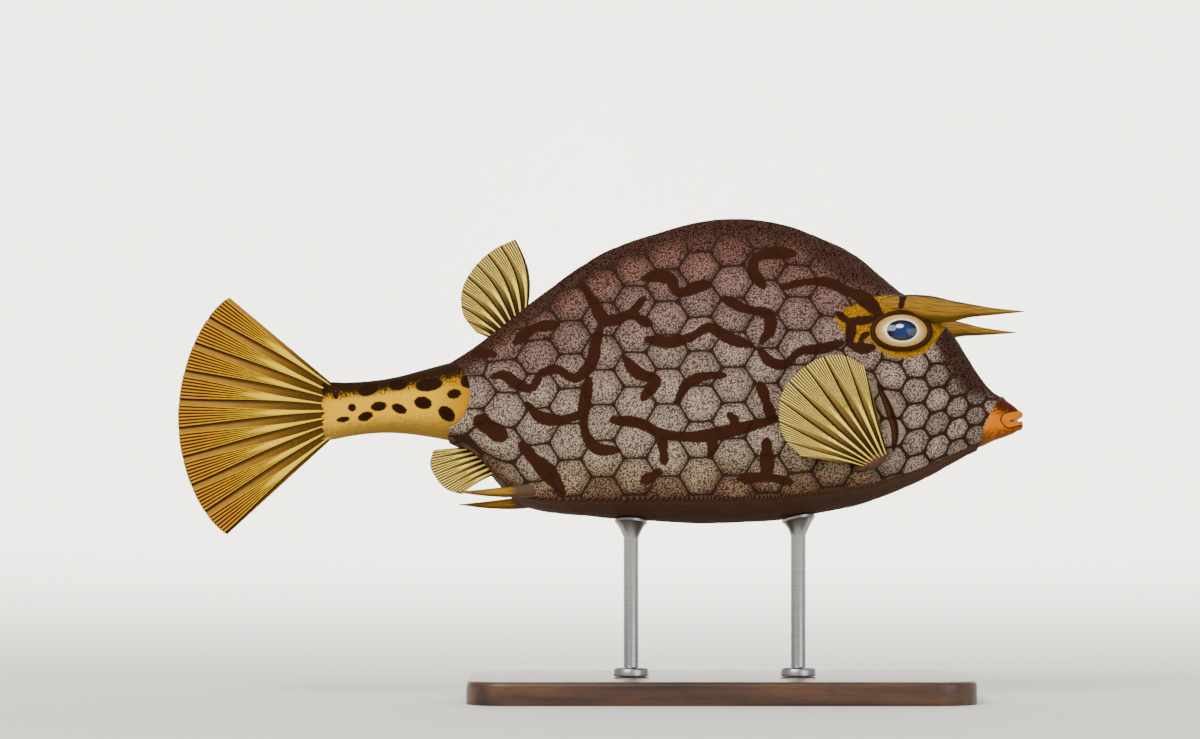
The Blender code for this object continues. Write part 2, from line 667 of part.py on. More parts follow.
def make_torso(bone, fish):
    """Armour behind the gills, with the roots of the belly's spines."""
    bm = cut_away(carapace(), HEAD_CUT, -GAP / 2)
    torso = to_object(cut_away(bm, across_x(REAR_RIM_X, False)), "torso")
    roots = [cut_away(spine_tube(side), across_x(SPINE_ROOT_X, False), -GAP / 2) for side in (1, -1)]
    combine(torso, roots, "UNION")
    finish(torso, bone, fish)


SIDES = {"left": 1, "right": -1}


def make_horns_and_spines(horn_material, fish):
    """Both horns and both spines, in front of and behind their roots."""
    for name, side in SIDES.items():
        horn = to_object(cut_away(horn_tube(side), across_x(HORN_ROOT_X, False), -GAP / 2), f"horn_{name}")
        finish(horn, horn_material, fish)
        tube = cut_away(spine_tube(side), across_x(SPINE_ROOT_X), -GAP / 2)
        finish(to_object(tube, f"belly_spine_{name}"), horn_material, fish)


def make_eyes(eye_material, fish):
    """Both eyeballs, each in its socket."""
    for name, side in SIDES.items():
        middle, looks = eye_place(side)
        ball = ellipsoid(middle, looks, EYE_HALF_WIDTH, EYE_HALF_HEIGHT, EYE_HALF_DEPTH)
        finish(to_object(ball, f"eye_{name}"), eye_material, fish)


# Snout


def lip_point(turn, spread):
    """A point on the horseshoe of the mouth, turn being its angle from straight ahead. spread of 1 is the
    upper lip's middle, -1 the lower's."""
    x = LIP_MIDDLE_X + LIP_REACH * math.cos(turn)
    front = max(0.0, math.cos(turn))
    apart = LIP_SPREAD_CORNER + (LIP_SPREAD_FRONT - LIP_SPREAD_CORNER) * front
    z = MOUTH_CORNER_Z + (x - LIP_MIDDLE_X) * MOUTH_SLOPE
    return Vector((x, LIP_HALF_WIDTH * math.sin(turn), z + spread * apart))


def lip(spread):
    """One lip, thick in front and thin at the corners of the mouth."""
    turns = np.radians(np.linspace(-LIP_HALF_TURN_DEG, LIP_HALF_TURN_DEG, LIP_STEPS))
    fronts = [max(0.0, math.cos(turn)) for turn in turns]
    radii = [LIP_RADIUS_CORNER + (LIP_RADIUS_FRONT - LIP_RADIUS_CORNER) * front for front in fronts]
    return taper_tube([lip_point(turn, spread) for turn in turns], radii, LIP_SIDES)


def mouth_wedge():
    """A cutter for the open mouth: a wedge that narrows to the corners."""
    back, front = LIP_MIDDLE_X - MOUTH_BEHIND_LIPS, MOUTH_X + MOUTH_CUTTER_AHEAD
    z_back = MOUTH_CORNER_Z + (back - LIP_MIDDLE_X) * MOUTH_SLOPE
    z_front = MOUTH_CORNER_Z + (front - LIP_MIDDLE_X) * MOUTH_SLOPE
    half = MOUTH_GAPE * (front - back) / (MOUTH_X - back) / 2
    upper = [(back, z_back + MOUTH_SLIT_HALF), (front, z_front + half)]
    lower = [(front, z_front - half), (back, z_back - MOUTH_SLIT_HALF)]
    ends = (-MOUTH_CUTTER_HALF_WIDTH, MOUTH_CUTTER_HALF_WIDTH)
    return loft([[Vector((x, y, z)) for x, z in upper + lower] for y in ends])


def tooth(turn, spread):
    """One small tooth, its root deep in the lip, pointing across the mouth."""
    root = lip_point(turn, spread)
    root.x -= TOOTH_SET_BACK
    tip = root + Vector((TOOTH_LEAN, 0, -spread * (LIP_RADIUS_FRONT + TOOTH_REACH)))
    return taper_tube([root, tip], [TOOTH_RADIUS, TOOTH_TIP_RADIUS], TOOTH_SIDES)


def make_snout(flesh, fish):
    """The soft snout, open a little, with lips and teeth."""
    rings = []
    for x, z, half_height, half_width, lean in SNOUT_RINGS:
        turns = [2 * math.pi * k / SNOUT_SIDES for k in range(SNOUT_SIDES)]
        heights = [half_height * math.sin(a) for a in turns]
        rings.append(
            [Vector((x + lean * -h, half_width * math.cos(a), z + h)) for a, h in zip(turns, heights)]
        )
    snout = to_object(cut_away(loft(rings), flipped(SNOUT_CUT), -GAP), "snout")
    combine(snout, [lip(1), lip(-1)], "UNION")
    combine(snout, [mouth_wedge()], "DIFFERENCE")
    turns = np.radians(np.linspace(-TEETH_HALF_TURN_DEG, TEETH_HALF_TURN_DEG, TEETH_ACROSS))
    combine(snout, [tooth(turn, spread) for turn in turns for spread in (1, -1)], "UNION")
    finish(snout, flesh, fish, SNOUT_CREASE_DEG)


# Tail stalk and fins


def make_stalk(skin, fish):
    """The soft stalk of the tail, an oval that flattens towards the fin."""
    fields = [monotone([(-ring[0], ring[k]) for ring in STALK_RINGS]) for k in (1, 2, 3)]
    xs = np.linspace(STALK_RINGS[0][0], STALK_RINGS[-1][0], STALK_STEPS)
    rings = []
    for x in xs:
        z, half_height, half_width = (field(-x) for field in fields)
        turns = [2 * math.pi * k / STALK_SIDES for k in range(STALK_SIDES)]
        rings.append([Vector((x, half_width * math.cos(a), z + half_height * math.sin(a))) for a in turns])
    finish(to_object(loft(rings), "tail_stalk"), skin, fish)


def ray_columns(rays):
    """Across a fin, each ray's two crests with the notch between them, then the membrane: (share, kind)."""
    columns = [(0.0, "membrane")]
    for i in range(rays):
        middle = (i + 0.5) / rays
        columns += [
            (middle - RAY_HALF_WIDTH / rays, "crest"),
            (middle, "notch"),
            (middle + RAY_HALF_WIDTH / rays, "crest"),
            ((i + 1) / rays, "membrane"),
        ]
    return columns


def half_thickness(kind, along):
    """Half the fin's thickness at a share of the ray's length from the root."""
    crest = RAY_HALF_ROOT + (RAY_HALF_TIP - RAY_HALF_ROOT) * along
    if kind == "crest":
        return crest
    if kind == "membrane":
        return MEMBRANE_HALF
    split = min(1.0, max(0.0, (along - RAY_SPLIT_FROM) / (1 - RAY_SPLIT_FROM)))
    return crest + (MEMBRANE_HALF - crest) * split


def fin_mesh(sheet, rays, rows):
    """A closed fin: sheet(along, across) is the middle of its membrane, and the rays are raised on both
    faces. Both faces are split into the same triangles."""
    columns = ray_columns(rays)
    along = np.linspace(0, 1, rows)
    middle = np.array([[sheet(u, v) for v, _ in columns] for u in along])
    ways = np.cross(np.gradient(middle, axis=0), np.gradient(middle, axis=1))
    ways /= np.linalg.norm(ways, axis=2, keepdims=True)
    half = np.array([[half_thickness(kind, u) for _, kind in columns] for u in along])[..., None]
    bm = bmesh.new()
    grids = [
        [[bm.verts.new(point) for point in row] for row in middle + sign * ways * half] for sign in (1, -1)
    ]
    last_row, last_column = rows - 1, len(columns) - 1
    for grid in grids:
        for i in range(last_row):
            for j in range(last_column):
                a, b, c, d = grid[i][j], grid[i][j + 1], grid[i + 1][j + 1], grid[i + 1][j]
                for face in ((a, b, c), (a, c, d)):
                    bm.faces.new(face)
    edge = [(0, j) for j in range(last_column)] + [(i, last_column) for i in range(last_row)]
    edge += [(last_row, j) for j in range(last_column, 0, -1)] + [(i, 0) for i in range(last_row, 0, -1)]
    for (i, j), (m, n) in zip(edge, edge[1:] + edge[:1]):
        bm.faces.new((grids[0][i][j], grids[0][m][n], grids[1][m][n], grids[1][i][j]))
    return bm


def upright_fin(root, margin, bow, sway):
    """A sheet on the fish's midline between root and margin outlines of (x, z), front ray first. The rays
    bow forward, and sway bends the fin sideways towards its margin."""
    root_line, margin_line = spline(root), spline(margin)

    def sheet(along, across):
        start, end = root_line(across), margin_line(across)
        x, z = start + (end - start) * along
        reach = np.array([end[1] - start[1], start[0] - end[0]]) / np.linalg.norm(end - start)
        x, z = np.array([x, z]) + reach * bow * math.sin(math.pi * along) * (1 - across)
        wave = math.sin(2 * math.pi * UPRIGHT_WAVE_TURNS * across + UPRIGHT_WAVE_START)
        return (x, sway * along**2 * wave, z)

    return sheet


def tail_sheet(along, across):
    """The tail fin's membrane: a fan spread about a point inside the stalk."""
    x0, z0 = TAIL_FAN_MIDDLE
    turn = math.radians(180 - TAIL_FAN_HALF_DEG + 2 * TAIL_FAN_HALF_DEG * across)
    radius = TAIL_FAN_RADIUS * (1 - TAIL_CORNER_CUT * (2 * across - 1) ** 8)
    margin = (x0 + radius * math.cos(turn), z0 + radius * math.sin(turn))
    stalk_x, stalk_z, stalk_half, _ = STALK_RINGS[-1]
    root = (stalk_x - GAP, stalk_z + (stalk_half - TAIL_ROOT_INSET) * (1 - 2 * across))
    x, z = (start + (end - start) * along for start, end in zip(root, margin))
    return (x, TAIL_SWAY * along**2 * math.sin(2 * math.pi * across), z)


def ridge_line(stops, belly):
    """A fin's root moved onto the midline of the back or the belly, clear of the plates by the gap."""
    moved = []
    for x, _ in stops:
        q = half_ring(round(x, 3)).total if belly else 0.0
        point = skin_point(x, q) + skin_normal(x, q) * (PLATE_RISE + PLATE_CROWN + GAP)
        moved.append((point.x, point.z))
    return moved


def pectoral_sheet(side):
    """The pectoral fin's membrane, spread up and back from its pad and standing off the flank."""
    root_line, margin_line = spline(PECTORAL_ROOT), spline(PECTORAL_MARGIN)
    off = PLATE_RISE + GAP + PECTORAL_PAD_RADIUS

    def sheet(along, across):
        start = off_flank(*root_line(across), side, off)
        x, z = margin_line(across)
        end = Vector((x, side * PECTORAL_HALF_SPREAD, z))
        point = start.lerp(end, along)
        lift = PECTORAL_BOW * math.sin(math.pi * along)
        return tuple(point + Vector((0, side * lift, 0)))

    return sheet


def make_pectoral(name, side, membrane, fish):
    """One pectoral fin, rising from a fleshy pad on the flank."""
    fin = to_object(fin_mesh(pectoral_sheet(side), PECTORAL_RAYS, PECTORAL_ROWS), f"pectoral_fin_{name}")
    root_line = spline(PECTORAL_ROOT)
    off = PLATE_RISE + GAP + PECTORAL_PAD_RADIUS
    shares = np.linspace(*PECTORAL_PAD_SHARES, PECTORAL_PAD_STEPS)
    line = [off_flank(*root_line(share), side, off) for share in shares]
    rounding = [math.sqrt(1 - s * s) for s in np.linspace(-1, 1, PECTORAL_PAD_STEPS)]
    radii = [max(PECTORAL_PAD_END_RADIUS, PECTORAL_PAD_RADIUS * share) for share in rounding]
    combine(fin, [taper_tube(line, radii, PECTORAL_PAD_SIDES)], "UNION")
    finish(fin, membrane, fish)


def make_fins(membrane, tail_membrane, fish):
    """The tail, dorsal, anal and both pectoral fins."""
    finish(to_object(fin_mesh(tail_sheet, TAIL_RAYS, TAIL_ROWS), "tail_fin"), tail_membrane, fish)
    dorsal = upright_fin(ridge_line(DORSAL_ROOT, False), DORSAL_MARGIN, DORSAL_BOW, DORSAL_SWAY)
    finish(to_object(fin_mesh(dorsal, DORSAL_RAYS, DORSAL_ROWS), "dorsal_fin"), membrane, fish)
    anal = upright_fin(ridge_line(ANAL_ROOT, True), ANAL_MARGIN, ANAL_BOW, ANAL_SWAY)
    finish(to_object(fin_mesh(anal, ANAL_RAYS, ANAL_ROWS), "anal_fin"), membrane, fish)
    for name, side in SIDES.items():
        make_pectoral(name, side, membrane, fish)


# Stand


def soften(bm, edges, radius, steps):
    """Rounds these edges."""
    bmesh.ops.bevel(bm, geom=edges, offset=radius, segments=steps, affect="EDGES", profile=0.5)


def make_base(wood):
    """A flat plate with rounded corners and a softened upper edge."""
    bm = bmesh.new()
    bmesh.ops.create_cube(bm, size=1.0)
    place = Matrix.Translation((0, 0, BASE_THICKNESS / 2)) @ Matrix.Diagonal(
        (BASE_LENGTH, BASE_WIDTH, BASE_THICKNESS, 1)
    )
    bmesh.ops.transform(bm, matrix=place, verts=bm.verts)
    uprights = [edge for edge in bm.edges if edge.verts[0].co.z != edge.verts[1].co.z]
    soften(bm, uprights, BASE_CORNER, BASE_CORNER_STEPS)
    upper = [edge for edge in bm.edges if all(vert.co.z > BASE_THICKNESS - 0.01 for vert in edge.verts)]
    soften(bm, upper, BASE_EDGE, BASE_EDGE_STEPS)
    finish(to_object(bm, "stand_base"), wood, None)


def make_rod(name, x, metal):
    """An upright rod on a ferrule, flared at its top to a pad that lies under the belly."""
    turns = [2 * math.pi * k / ROD_SIDES for k in range(ROD_SIDES)]

    def under_belly(radius, turn, clear):
        at = x + radius * math.cos(turn)
        ring = half_ring(round(at, 3))
        q = ring.total - radius * math.sin(turn)
        return TO_STAND @ (skin_point(at, q) + skin_normal(at, q) * clear)

    clear = PLATE_RISE + PLATE_CROWN + GAP
    axis = under_belly(0, 0, clear)
    seat = BASE_THICKNESS + GAP
    levels = (
        (FERRULE_RADIUS, seat),
        (FERRULE_RADIUS, seat + FERRULE_HEIGHT - FERRULE_EDGE),
        (FERRULE_RADIUS - FERRULE_EDGE, seat + FERRULE_HEIGHT),
        (ROD_RADIUS, seat + FERRULE_HEIGHT),
        (ROD_RADIUS, axis.z - ROD_FLARE),
    )
    rings = [
        [Vector((axis.x + radius * math.cos(a), axis.y + radius * math.sin(a), z)) for a in turns]
        for radius, z in levels
    ]
    for off in (clear + ROD_PAD_THICKNESS, clear):
        rings.append([under_belly(ROD_PAD_RADIUS, turn, off) for turn in turns])
    finish(to_object(loft(rings), name), metal, None)


def main():
    """Builds the fish and its stand."""
    for obj in list(bpy.data.objects):
        bpy.data.objects.remove(obj)
    fish = bpy.data.objects.new("fish", None)
    bpy.context.scene.collection.objects.link(fish)
    fish.location = (0, 0, AXIS_HEIGHT * MM)
    fish.rotation_euler = (math.radians(-BANK_DEG), 0, 0)

    bone = material("plate_bone", (0.22, 0.16, 0.14), 0.6)
    horn_ochre = material("horn_ochre", (0.47, 0.25, 0.03), 0.45)
    eye = material("eye", (0.85, 0.62, 0.30), 0.15)
    lips = material("lip_flesh", (0.60, 0.16, 0.02), 0.4)
    skin = material("stalk_skin", (0.66, 0.42, 0.08), 0.5)
    membrane = material("fin_membrane", (0.60, 0.46, 0.13), 0.5)
    tail_membrane = material("tail_membrane", (0.52, 0.29, 0.05), 0.5)
    wood = material("stand_wood", (0.05, 0.03, 0.02), 0.4)
    metal = material("stand_metal", (0.55, 0.55, 0.56), 0.3, 1.0)

    make_torso(bone, fish)
    make_head(bone, fish)
    make_horns_and_spines(horn_ochre, fish)
    make_eyes(eye, fish)
    make_snout(lips, fish)
    make_stalk(skin, fish)
    make_fins(membrane, tail_membrane, fish)
    make_base(wood)
    for name, x in ROD_PLACES.items():
        make_rod(name, x, metal)
    bpy.context.view_layer.update()


main()
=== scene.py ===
import logging
import math
from dataclasses import dataclass, field
from enum import Enum
from typing import Any, Callable, Sequence

import bmesh
import bpy
import numpy as np
from mathutils import Matrix, Vector


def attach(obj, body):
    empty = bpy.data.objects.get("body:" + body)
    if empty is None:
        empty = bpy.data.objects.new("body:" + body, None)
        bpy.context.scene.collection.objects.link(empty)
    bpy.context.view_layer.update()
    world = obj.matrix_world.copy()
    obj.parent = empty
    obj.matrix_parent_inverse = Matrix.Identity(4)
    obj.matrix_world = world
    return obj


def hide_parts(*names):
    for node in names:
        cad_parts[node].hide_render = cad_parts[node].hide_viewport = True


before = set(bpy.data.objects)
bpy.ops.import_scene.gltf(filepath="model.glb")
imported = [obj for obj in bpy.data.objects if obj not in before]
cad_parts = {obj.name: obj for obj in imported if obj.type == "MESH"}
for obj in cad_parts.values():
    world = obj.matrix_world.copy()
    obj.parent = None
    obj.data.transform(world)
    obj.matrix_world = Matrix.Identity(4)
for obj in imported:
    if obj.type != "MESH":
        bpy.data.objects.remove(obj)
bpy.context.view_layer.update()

# The fish's own frame, in millimetres: X towards the mouth, Y to its left, Z up.
# The stand lifts and banks it.
MM = 0.001
AXIS_HEIGHT = 95.0
BANK = math.radians(9.0)
GAP = 0.3
REAR_RIM_X = -84.0
SNOUT_CUT = ((90.9, 0.0, -0.4), (0.9119, 0.0, -0.4104))
Stops = Sequence[Sequence[float]]
Triple = tuple[float, float, float]
Array = np.ndarray
Sheet = Callable[[Array, Array], Array]

log = logging.getLogger("cowfish")
TINY = 1e-9  # keeps a division from meeting zero
CURVE_READS = 13  # stops that a short curve is read at
FLANK_READS = 160  # places down the flank that a height is looked up in
LAST_CELL = 1.001  # how far before a table's end its last cell is read
EDGE_SLACK = 1e-6  # in metres, for finding edges that lie in a plane
SOFT = {"interpolation_type": "SMOOTHSTEP"}  # a range that eases in and out


class Side(Enum):
    """The two flanks. The viewer sees the fish's right one."""

    LEFT = 1
    RIGHT = -1

    @property
    def label(self) -> str:
        """The word that names a piece on this side."""
        return self.name.lower()


def to_stand(points: Array) -> Array:
    """Turns points from the fish's frame to the stand's.

    Args:
        points: places in the fish's frame, in mm, one a row.

    Returns:
        The same places in the stand's frame, in metres.
    """
    x, y, z = np.asarray(points, float).T
    across = y * math.cos(BANK) + z * math.sin(BANK)
    height = z * math.cos(BANK) - y * math.sin(BANK) + AXIS_HEIGHT
    return np.stack([x, across, height], 1) * MM


def smoothstep(low: float, high: float, value: Array) -> Array:
    """A soft step from 0 at low to 1 at high."""
    share = np.clip((np.asarray(value, float) - low) / (high - low), 0, 1)
    return share * share * (3 - 2 * share)


def unit(ways: Array) -> Array:
    """The same ways, each of them one long."""
    return ways / np.linalg.norm(ways, axis=-1, keepdims=True)


def arc_lengths(line: Array) -> Array:
    """How far along a jointed line each of its points lies."""
    return np.concatenate([[0], np.cumsum(np.linalg.norm(np.diff(line, axis=0), axis=1))])


def full_turn(count: int) -> Array:
    """Angles evenly spaced round a circle."""
    return np.linspace(0, 2 * math.pi, count, endpoint=False)


def between(ends: Sequence[float], share: Array | float) -> Array:
    """The value at a share of the way from the first end to the second."""
    return ends[0] + (ends[1] - ends[0]) * share


def hermite(knots: Array, values: Array, slopes: Array, at: Array) -> Array:
    """Reads a smooth curve between knots.

    Args:
        knots: places along the curve.
        values: what it is there, one row each.
        slopes: how fast it changes there.
        at: places to read.

    Returns:
        One row for each place.
    """
    at = np.clip(at, knots[0], knots[-1])
    i = np.clip(np.searchsorted(knots, at) - 1, 0, len(knots) - 2)
    width = knots[i + 1] - knots[i]
    t = (at - knots[i]) / width
    if values.ndim > 1:
        t, width = t[:, None], width[:, None]
    start = values[i] * (1 + 2 * t) * (1 - t) ** 2 + slopes[i] * width * t * (1 - t) ** 2
    return start + values[i + 1] * t * t * (3 - 2 * t) + slopes[i + 1] * width * t * t * (t - 1)


def monotone(stops: Stops, at: Array) -> Array:
    """A smooth line through (x, y) stops that never swings past them, read at the places given."""
    xs, ys = np.array(stops, float).T
    steps = np.diff(ys) / np.diff(xs)
    slopes = np.concatenate([steps[:1], (steps[:-1] + steps[1:]) / 2, steps[-1:]])
    slopes[1:-1][steps[:-1] * steps[1:] <= 0] = 0.0
    for i, step in enumerate(steps):
        for end in (i, i + 1):
            slopes[end] = math.copysign(min(abs(slopes[end]), 3 * abs(step)), slopes[end])
    return hermite(xs, ys, slopes, np.asarray(at, float))


def curve_through(stops: Stops, shares: Array) -> Array:
    """A smooth curve through stops of any dimension.

    Args:
        stops: the points it passes through.
        shares: places along it, from 0 to 1.

    Returns:
        One point a row.
    """
    points = np.array(stops, float)
    lengths = arc_lengths(points)
    slopes = np.gradient(points, lengths, axis=0)
    return hermite(lengths, points, slopes, np.asarray(shares, float) * lengths[-1])


def bezier(controls: Stops, steps: int) -> Array:
    """Points along a Bezier curve, both ends included."""
    corners = np.array(controls, float)
    degree = len(corners) - 1
    t = np.linspace(0, 1, steps + 1)
    weights = [math.comb(degree, k) * t**k * (1 - t) ** (degree - k) for k in range(degree + 1)]
    return np.stack(weights, 1) @ corners


def distance_to_line(places: Array, line: Array) -> Array:
    """How far each place is from a jointed line, in any dimension."""
    best = np.full(len(places), np.inf)
    for start, end in zip(line, line[1:]):
        way = end - start
        share = np.clip((places - start) @ way / max(way @ way, TINY), 0, 1)
        best = np.minimum(best, np.linalg.norm(places - start - share[:, None] * way, axis=1))
    return best


def inside_outline(places: Array, outline: Array) -> Array:
    """Signed distance to a closed flat outline, negative inside it."""
    closed = np.vstack([outline, outline[:1]])
    inside = np.zeros(len(places), bool)
    for (xa, za), (xb, zb) in zip(closed, closed[1:]):
        spans = (za > places[:, 1]) != (zb > places[:, 1])
        meets = xa + (places[:, 1] - za) * (xb - xa) / (zb - za if zb != za else TINY)
        inside ^= spans & (places[:, 0] < meets)
    return np.where(inside, -1, 1) * distance_to_line(places, closed)


# Blender helpers


def deselect() -> None:
    """Leaves nothing selected, the CAD nodes included."""
    bpy.ops.object.select_all(action="DESELECT")


def select_only(piece: bpy.types.Object) -> None:
    """Makes the piece the one selected and active object."""
    deselect()
    piece.select_set(True)
    bpy.context.view_layer.objects.active = piece


def mesh_piece(
    name: str, points: Array, faces: Array, place: Callable[[Array], Array] = to_stand
) -> bpy.types.Object:
    """Makes a piece from points and faces.

    Args:
        name: the piece's name.
        points: in the fish's frame, in mm.
        faces: rows of point numbers, all triangles or all four-sided.
        place: turns the points to the stand's frame, in metres.

    Returns:
        The new object, with its place in its mesh.
    """
    mesh = bpy.data.meshes.new(name)
    count, corners = faces.shape
    mesh.vertices.add(len(points))
    mesh.vertices.foreach_set("co", place(points).astype(np.float32).ravel())
    mesh.loops.add(count * corners)
    mesh.loops.foreach_set("vertex_index", faces.astype(np.int32).ravel())
    mesh.polygons.add(count)
    mesh.polygons.foreach_set("loop_start", np.arange(0, count * corners, corners, dtype=np.int32))
    mesh.update(calc_edges=True)
    mesh.validate()
    piece = bpy.data.objects.new(name, mesh)
    bpy.context.scene.collection.objects.link(piece)
    return piece


def set_field(piece: bpy.types.Object, name: str, values: Array) -> None:
    """Stores one number, or one vector, at each point of the piece for its finish to read."""
    kind = "FLOAT" if values.ndim == 1 else "FLOAT_VECTOR"
    made = piece.data.attributes.new(name, kind, "POINT")
    made.data.foreach_set("value" if kind == "FLOAT" else "vector", values.astype(np.float32).ravel())


def fish_points(piece: bpy.types.Object) -> Array:
    """The piece's points in the fish's frame, in mm."""
    places = np.empty(len(piece.data.vertices) * 3, np.float32)
    piece.data.vertices.foreach_get("co", places)
    x, across, height = places.reshape(-1, 3).T / MM
    height = height - AXIS_HEIGHT
    y = across * math.cos(BANK) - height * math.sin(BANK)
    z = across * math.sin(BANK) + height * math.cos(BANK)
    return np.stack([x, y, z], 1)


def select_edges(piece: bpy.types.Object, wanted: Callable[[bmesh.types.BMEdge], bool]) -> None:
    """In edit mode, selects the edges that are wanted and nothing else."""
    bpy.ops.mesh.select_all(action="DESELECT")
    shape = bmesh.from_edit_mesh(piece.data)
    for edge in shape.edges:
        if wanted(edge):
            edge.select_set(True)
    bmesh.update_edit_mesh(piece.data)


def join_parts(parts: Sequence[bpy.types.Object]) -> bpy.types.Object:
    """Joins the parts into the first of them."""
    select_only(parts[0])
    for part in parts:
        part.select_set(True)
    bpy.ops.object.join()
    return parts[0]


def apply_modifier(piece: bpy.types.Object, kind: str, **settings: Any) -> None:
    """Adds a modifier with these settings and applies it."""
    select_only(piece)
    step = piece.modifiers.new(kind.title(), kind)
    for name, value in settings.items():
        setattr(step, name, value)
    bpy.ops.object.modifier_apply(modifier=step.name)


def finish_piece(
    piece: bpy.types.Object,
    finish: bpy.types.Material,
    nodes: Sequence[str] = (),
    crease: float = 180.0,
) -> bpy.types.Object:
    """Dresses a finished mesh and hangs it on the model.

    Args:
        piece: the object, its place in its mesh.
        finish: its material.
        nodes: the CAD nodes it stands for.
        crease: edges sharper than this, in degrees, stay crisp.

    Returns:
        The piece.
    """
    piece.data.materials.clear()
    piece.data.materials.append(finish)
    piece.data.shade_smooth()
    piece.data.set_sharp_from_angle(angle=math.radians(crease))
    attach(piece, "root")
    if nodes:
        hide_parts(*nodes)
    log.info("%s: %d faces", piece.name, len(piece.data.polygons))
    return piece


# Materials


def linear(colour: str) -> tuple[float, float, float, float]:
    """An sRGB hex colour as linear red, green, blue and alpha."""
    shares = [int(colour[i : i + 2], 16) / 255 for i in (1, 3, 5)]
    return (*(s / 12.92 if s <= 0.04045 else ((s + 0.055) / 1.055) ** 2.4 for s in shares), 1.0)


# How much of the mirror-like shine a surface keeps: bare ones all of it, matt-painted ones less.
BARE = 0.5
PAINTED = 0.04


class Paint:
    """A material in the making: its node tree and its main shader."""

    def __init__(self, name: str, sheen: float) -> None:
        """Starts an empty material; sheen is BARE, PAINTED or a value of its own."""
        self.made = bpy.data.materials.new(name)
        self.made.use_nodes = True
        self.tree = self.made.node_tree
        self.shader = self.tree.nodes["Principled BSDF"]
        self.shader.inputs["Specular IOR Level"].default_value = sheen

    def fill(self, node: bpy.types.Node, inputs: dict[str | int, Any]) -> None:
        """Gives a node's sockets, by name or number, a value, a hex colour or another node's output."""
        for socket, value in inputs.items():
            if isinstance(value, bpy.types.NodeSocket):
                self.tree.links.new(value, node.inputs[socket])
            else:
                node.inputs[socket].default_value = linear(value) if isinstance(value, str) else value

    def add(
        self,
        kind: str,
        inputs: dict[str | int, Any] | None = None,
        out: str | int = 0,
        stops: Sequence[tuple[float, str]] = (),
        **settings: Any,
    ) -> bpy.types.NodeSocket:
        """Adds a shader node.

        Args:
            kind: the node's type, without the words that all shader nodes begin with.
            inputs: sockets by name or number, each a value, a hex colour or another node's output.
            out: which output to hand back.
            stops: a colour ramp's places and hex colours.
            settings: the node's own properties.

        Returns:
            The output asked for.
        """
        node = self.tree.nodes.new(f"ShaderNode{kind}")
        for name, value in settings.items():
            setattr(node, name, value)
        self.fill(node, inputs or {})
        for number, (place, colour) in enumerate(stops):
            points = node.color_ramp.elements
            point = points[number] if number < 2 else points.new(place)
            point.position, point.color = place, linear(colour)
        return node.outputs[out]

    def coats(
        self, ground: bpy.types.NodeSocket | str, layers: Sequence[tuple[Any, Any]]
    ) -> bpy.types.NodeSocket:
        """Lays colours over a ground, each where its mask is 1.

        Args:
            ground: the first colour.
            layers: pairs of a mask and a colour.

        Returns:
            The colour that shows.
        """
        for mask, colour in layers:
            ground = self.add("Mix", {0: mask, 6: ground, 7: colour}, out=2, data_type="RGBA")
        return ground

    def done(
        self,
        inputs: dict[str | int, Any],
        relief: bpy.types.NodeSocket | None = None,
        strength: float = 0.0,
        depth_mm: float = 0.0,
    ) -> bpy.types.Material:
        """Fills the main shader and hands the material over.

        Args:
            inputs: the main shader's sockets.
            relief: how high each place of the fine relief is, or nothing for a smooth surface.
            strength: how strongly the relief shows.
            depth_mm: how deep it is, in mm.

        Returns:
            The material.
        """
        if relief is not None:
            heights = {"Height": relief, "Strength": strength, "Distance": depth_mm * MM}
            inputs = {**inputs, "Normal": self.add("Bump", heights, "Normal")}
        self.fill(self.shader, inputs)
        return self.made


# The body


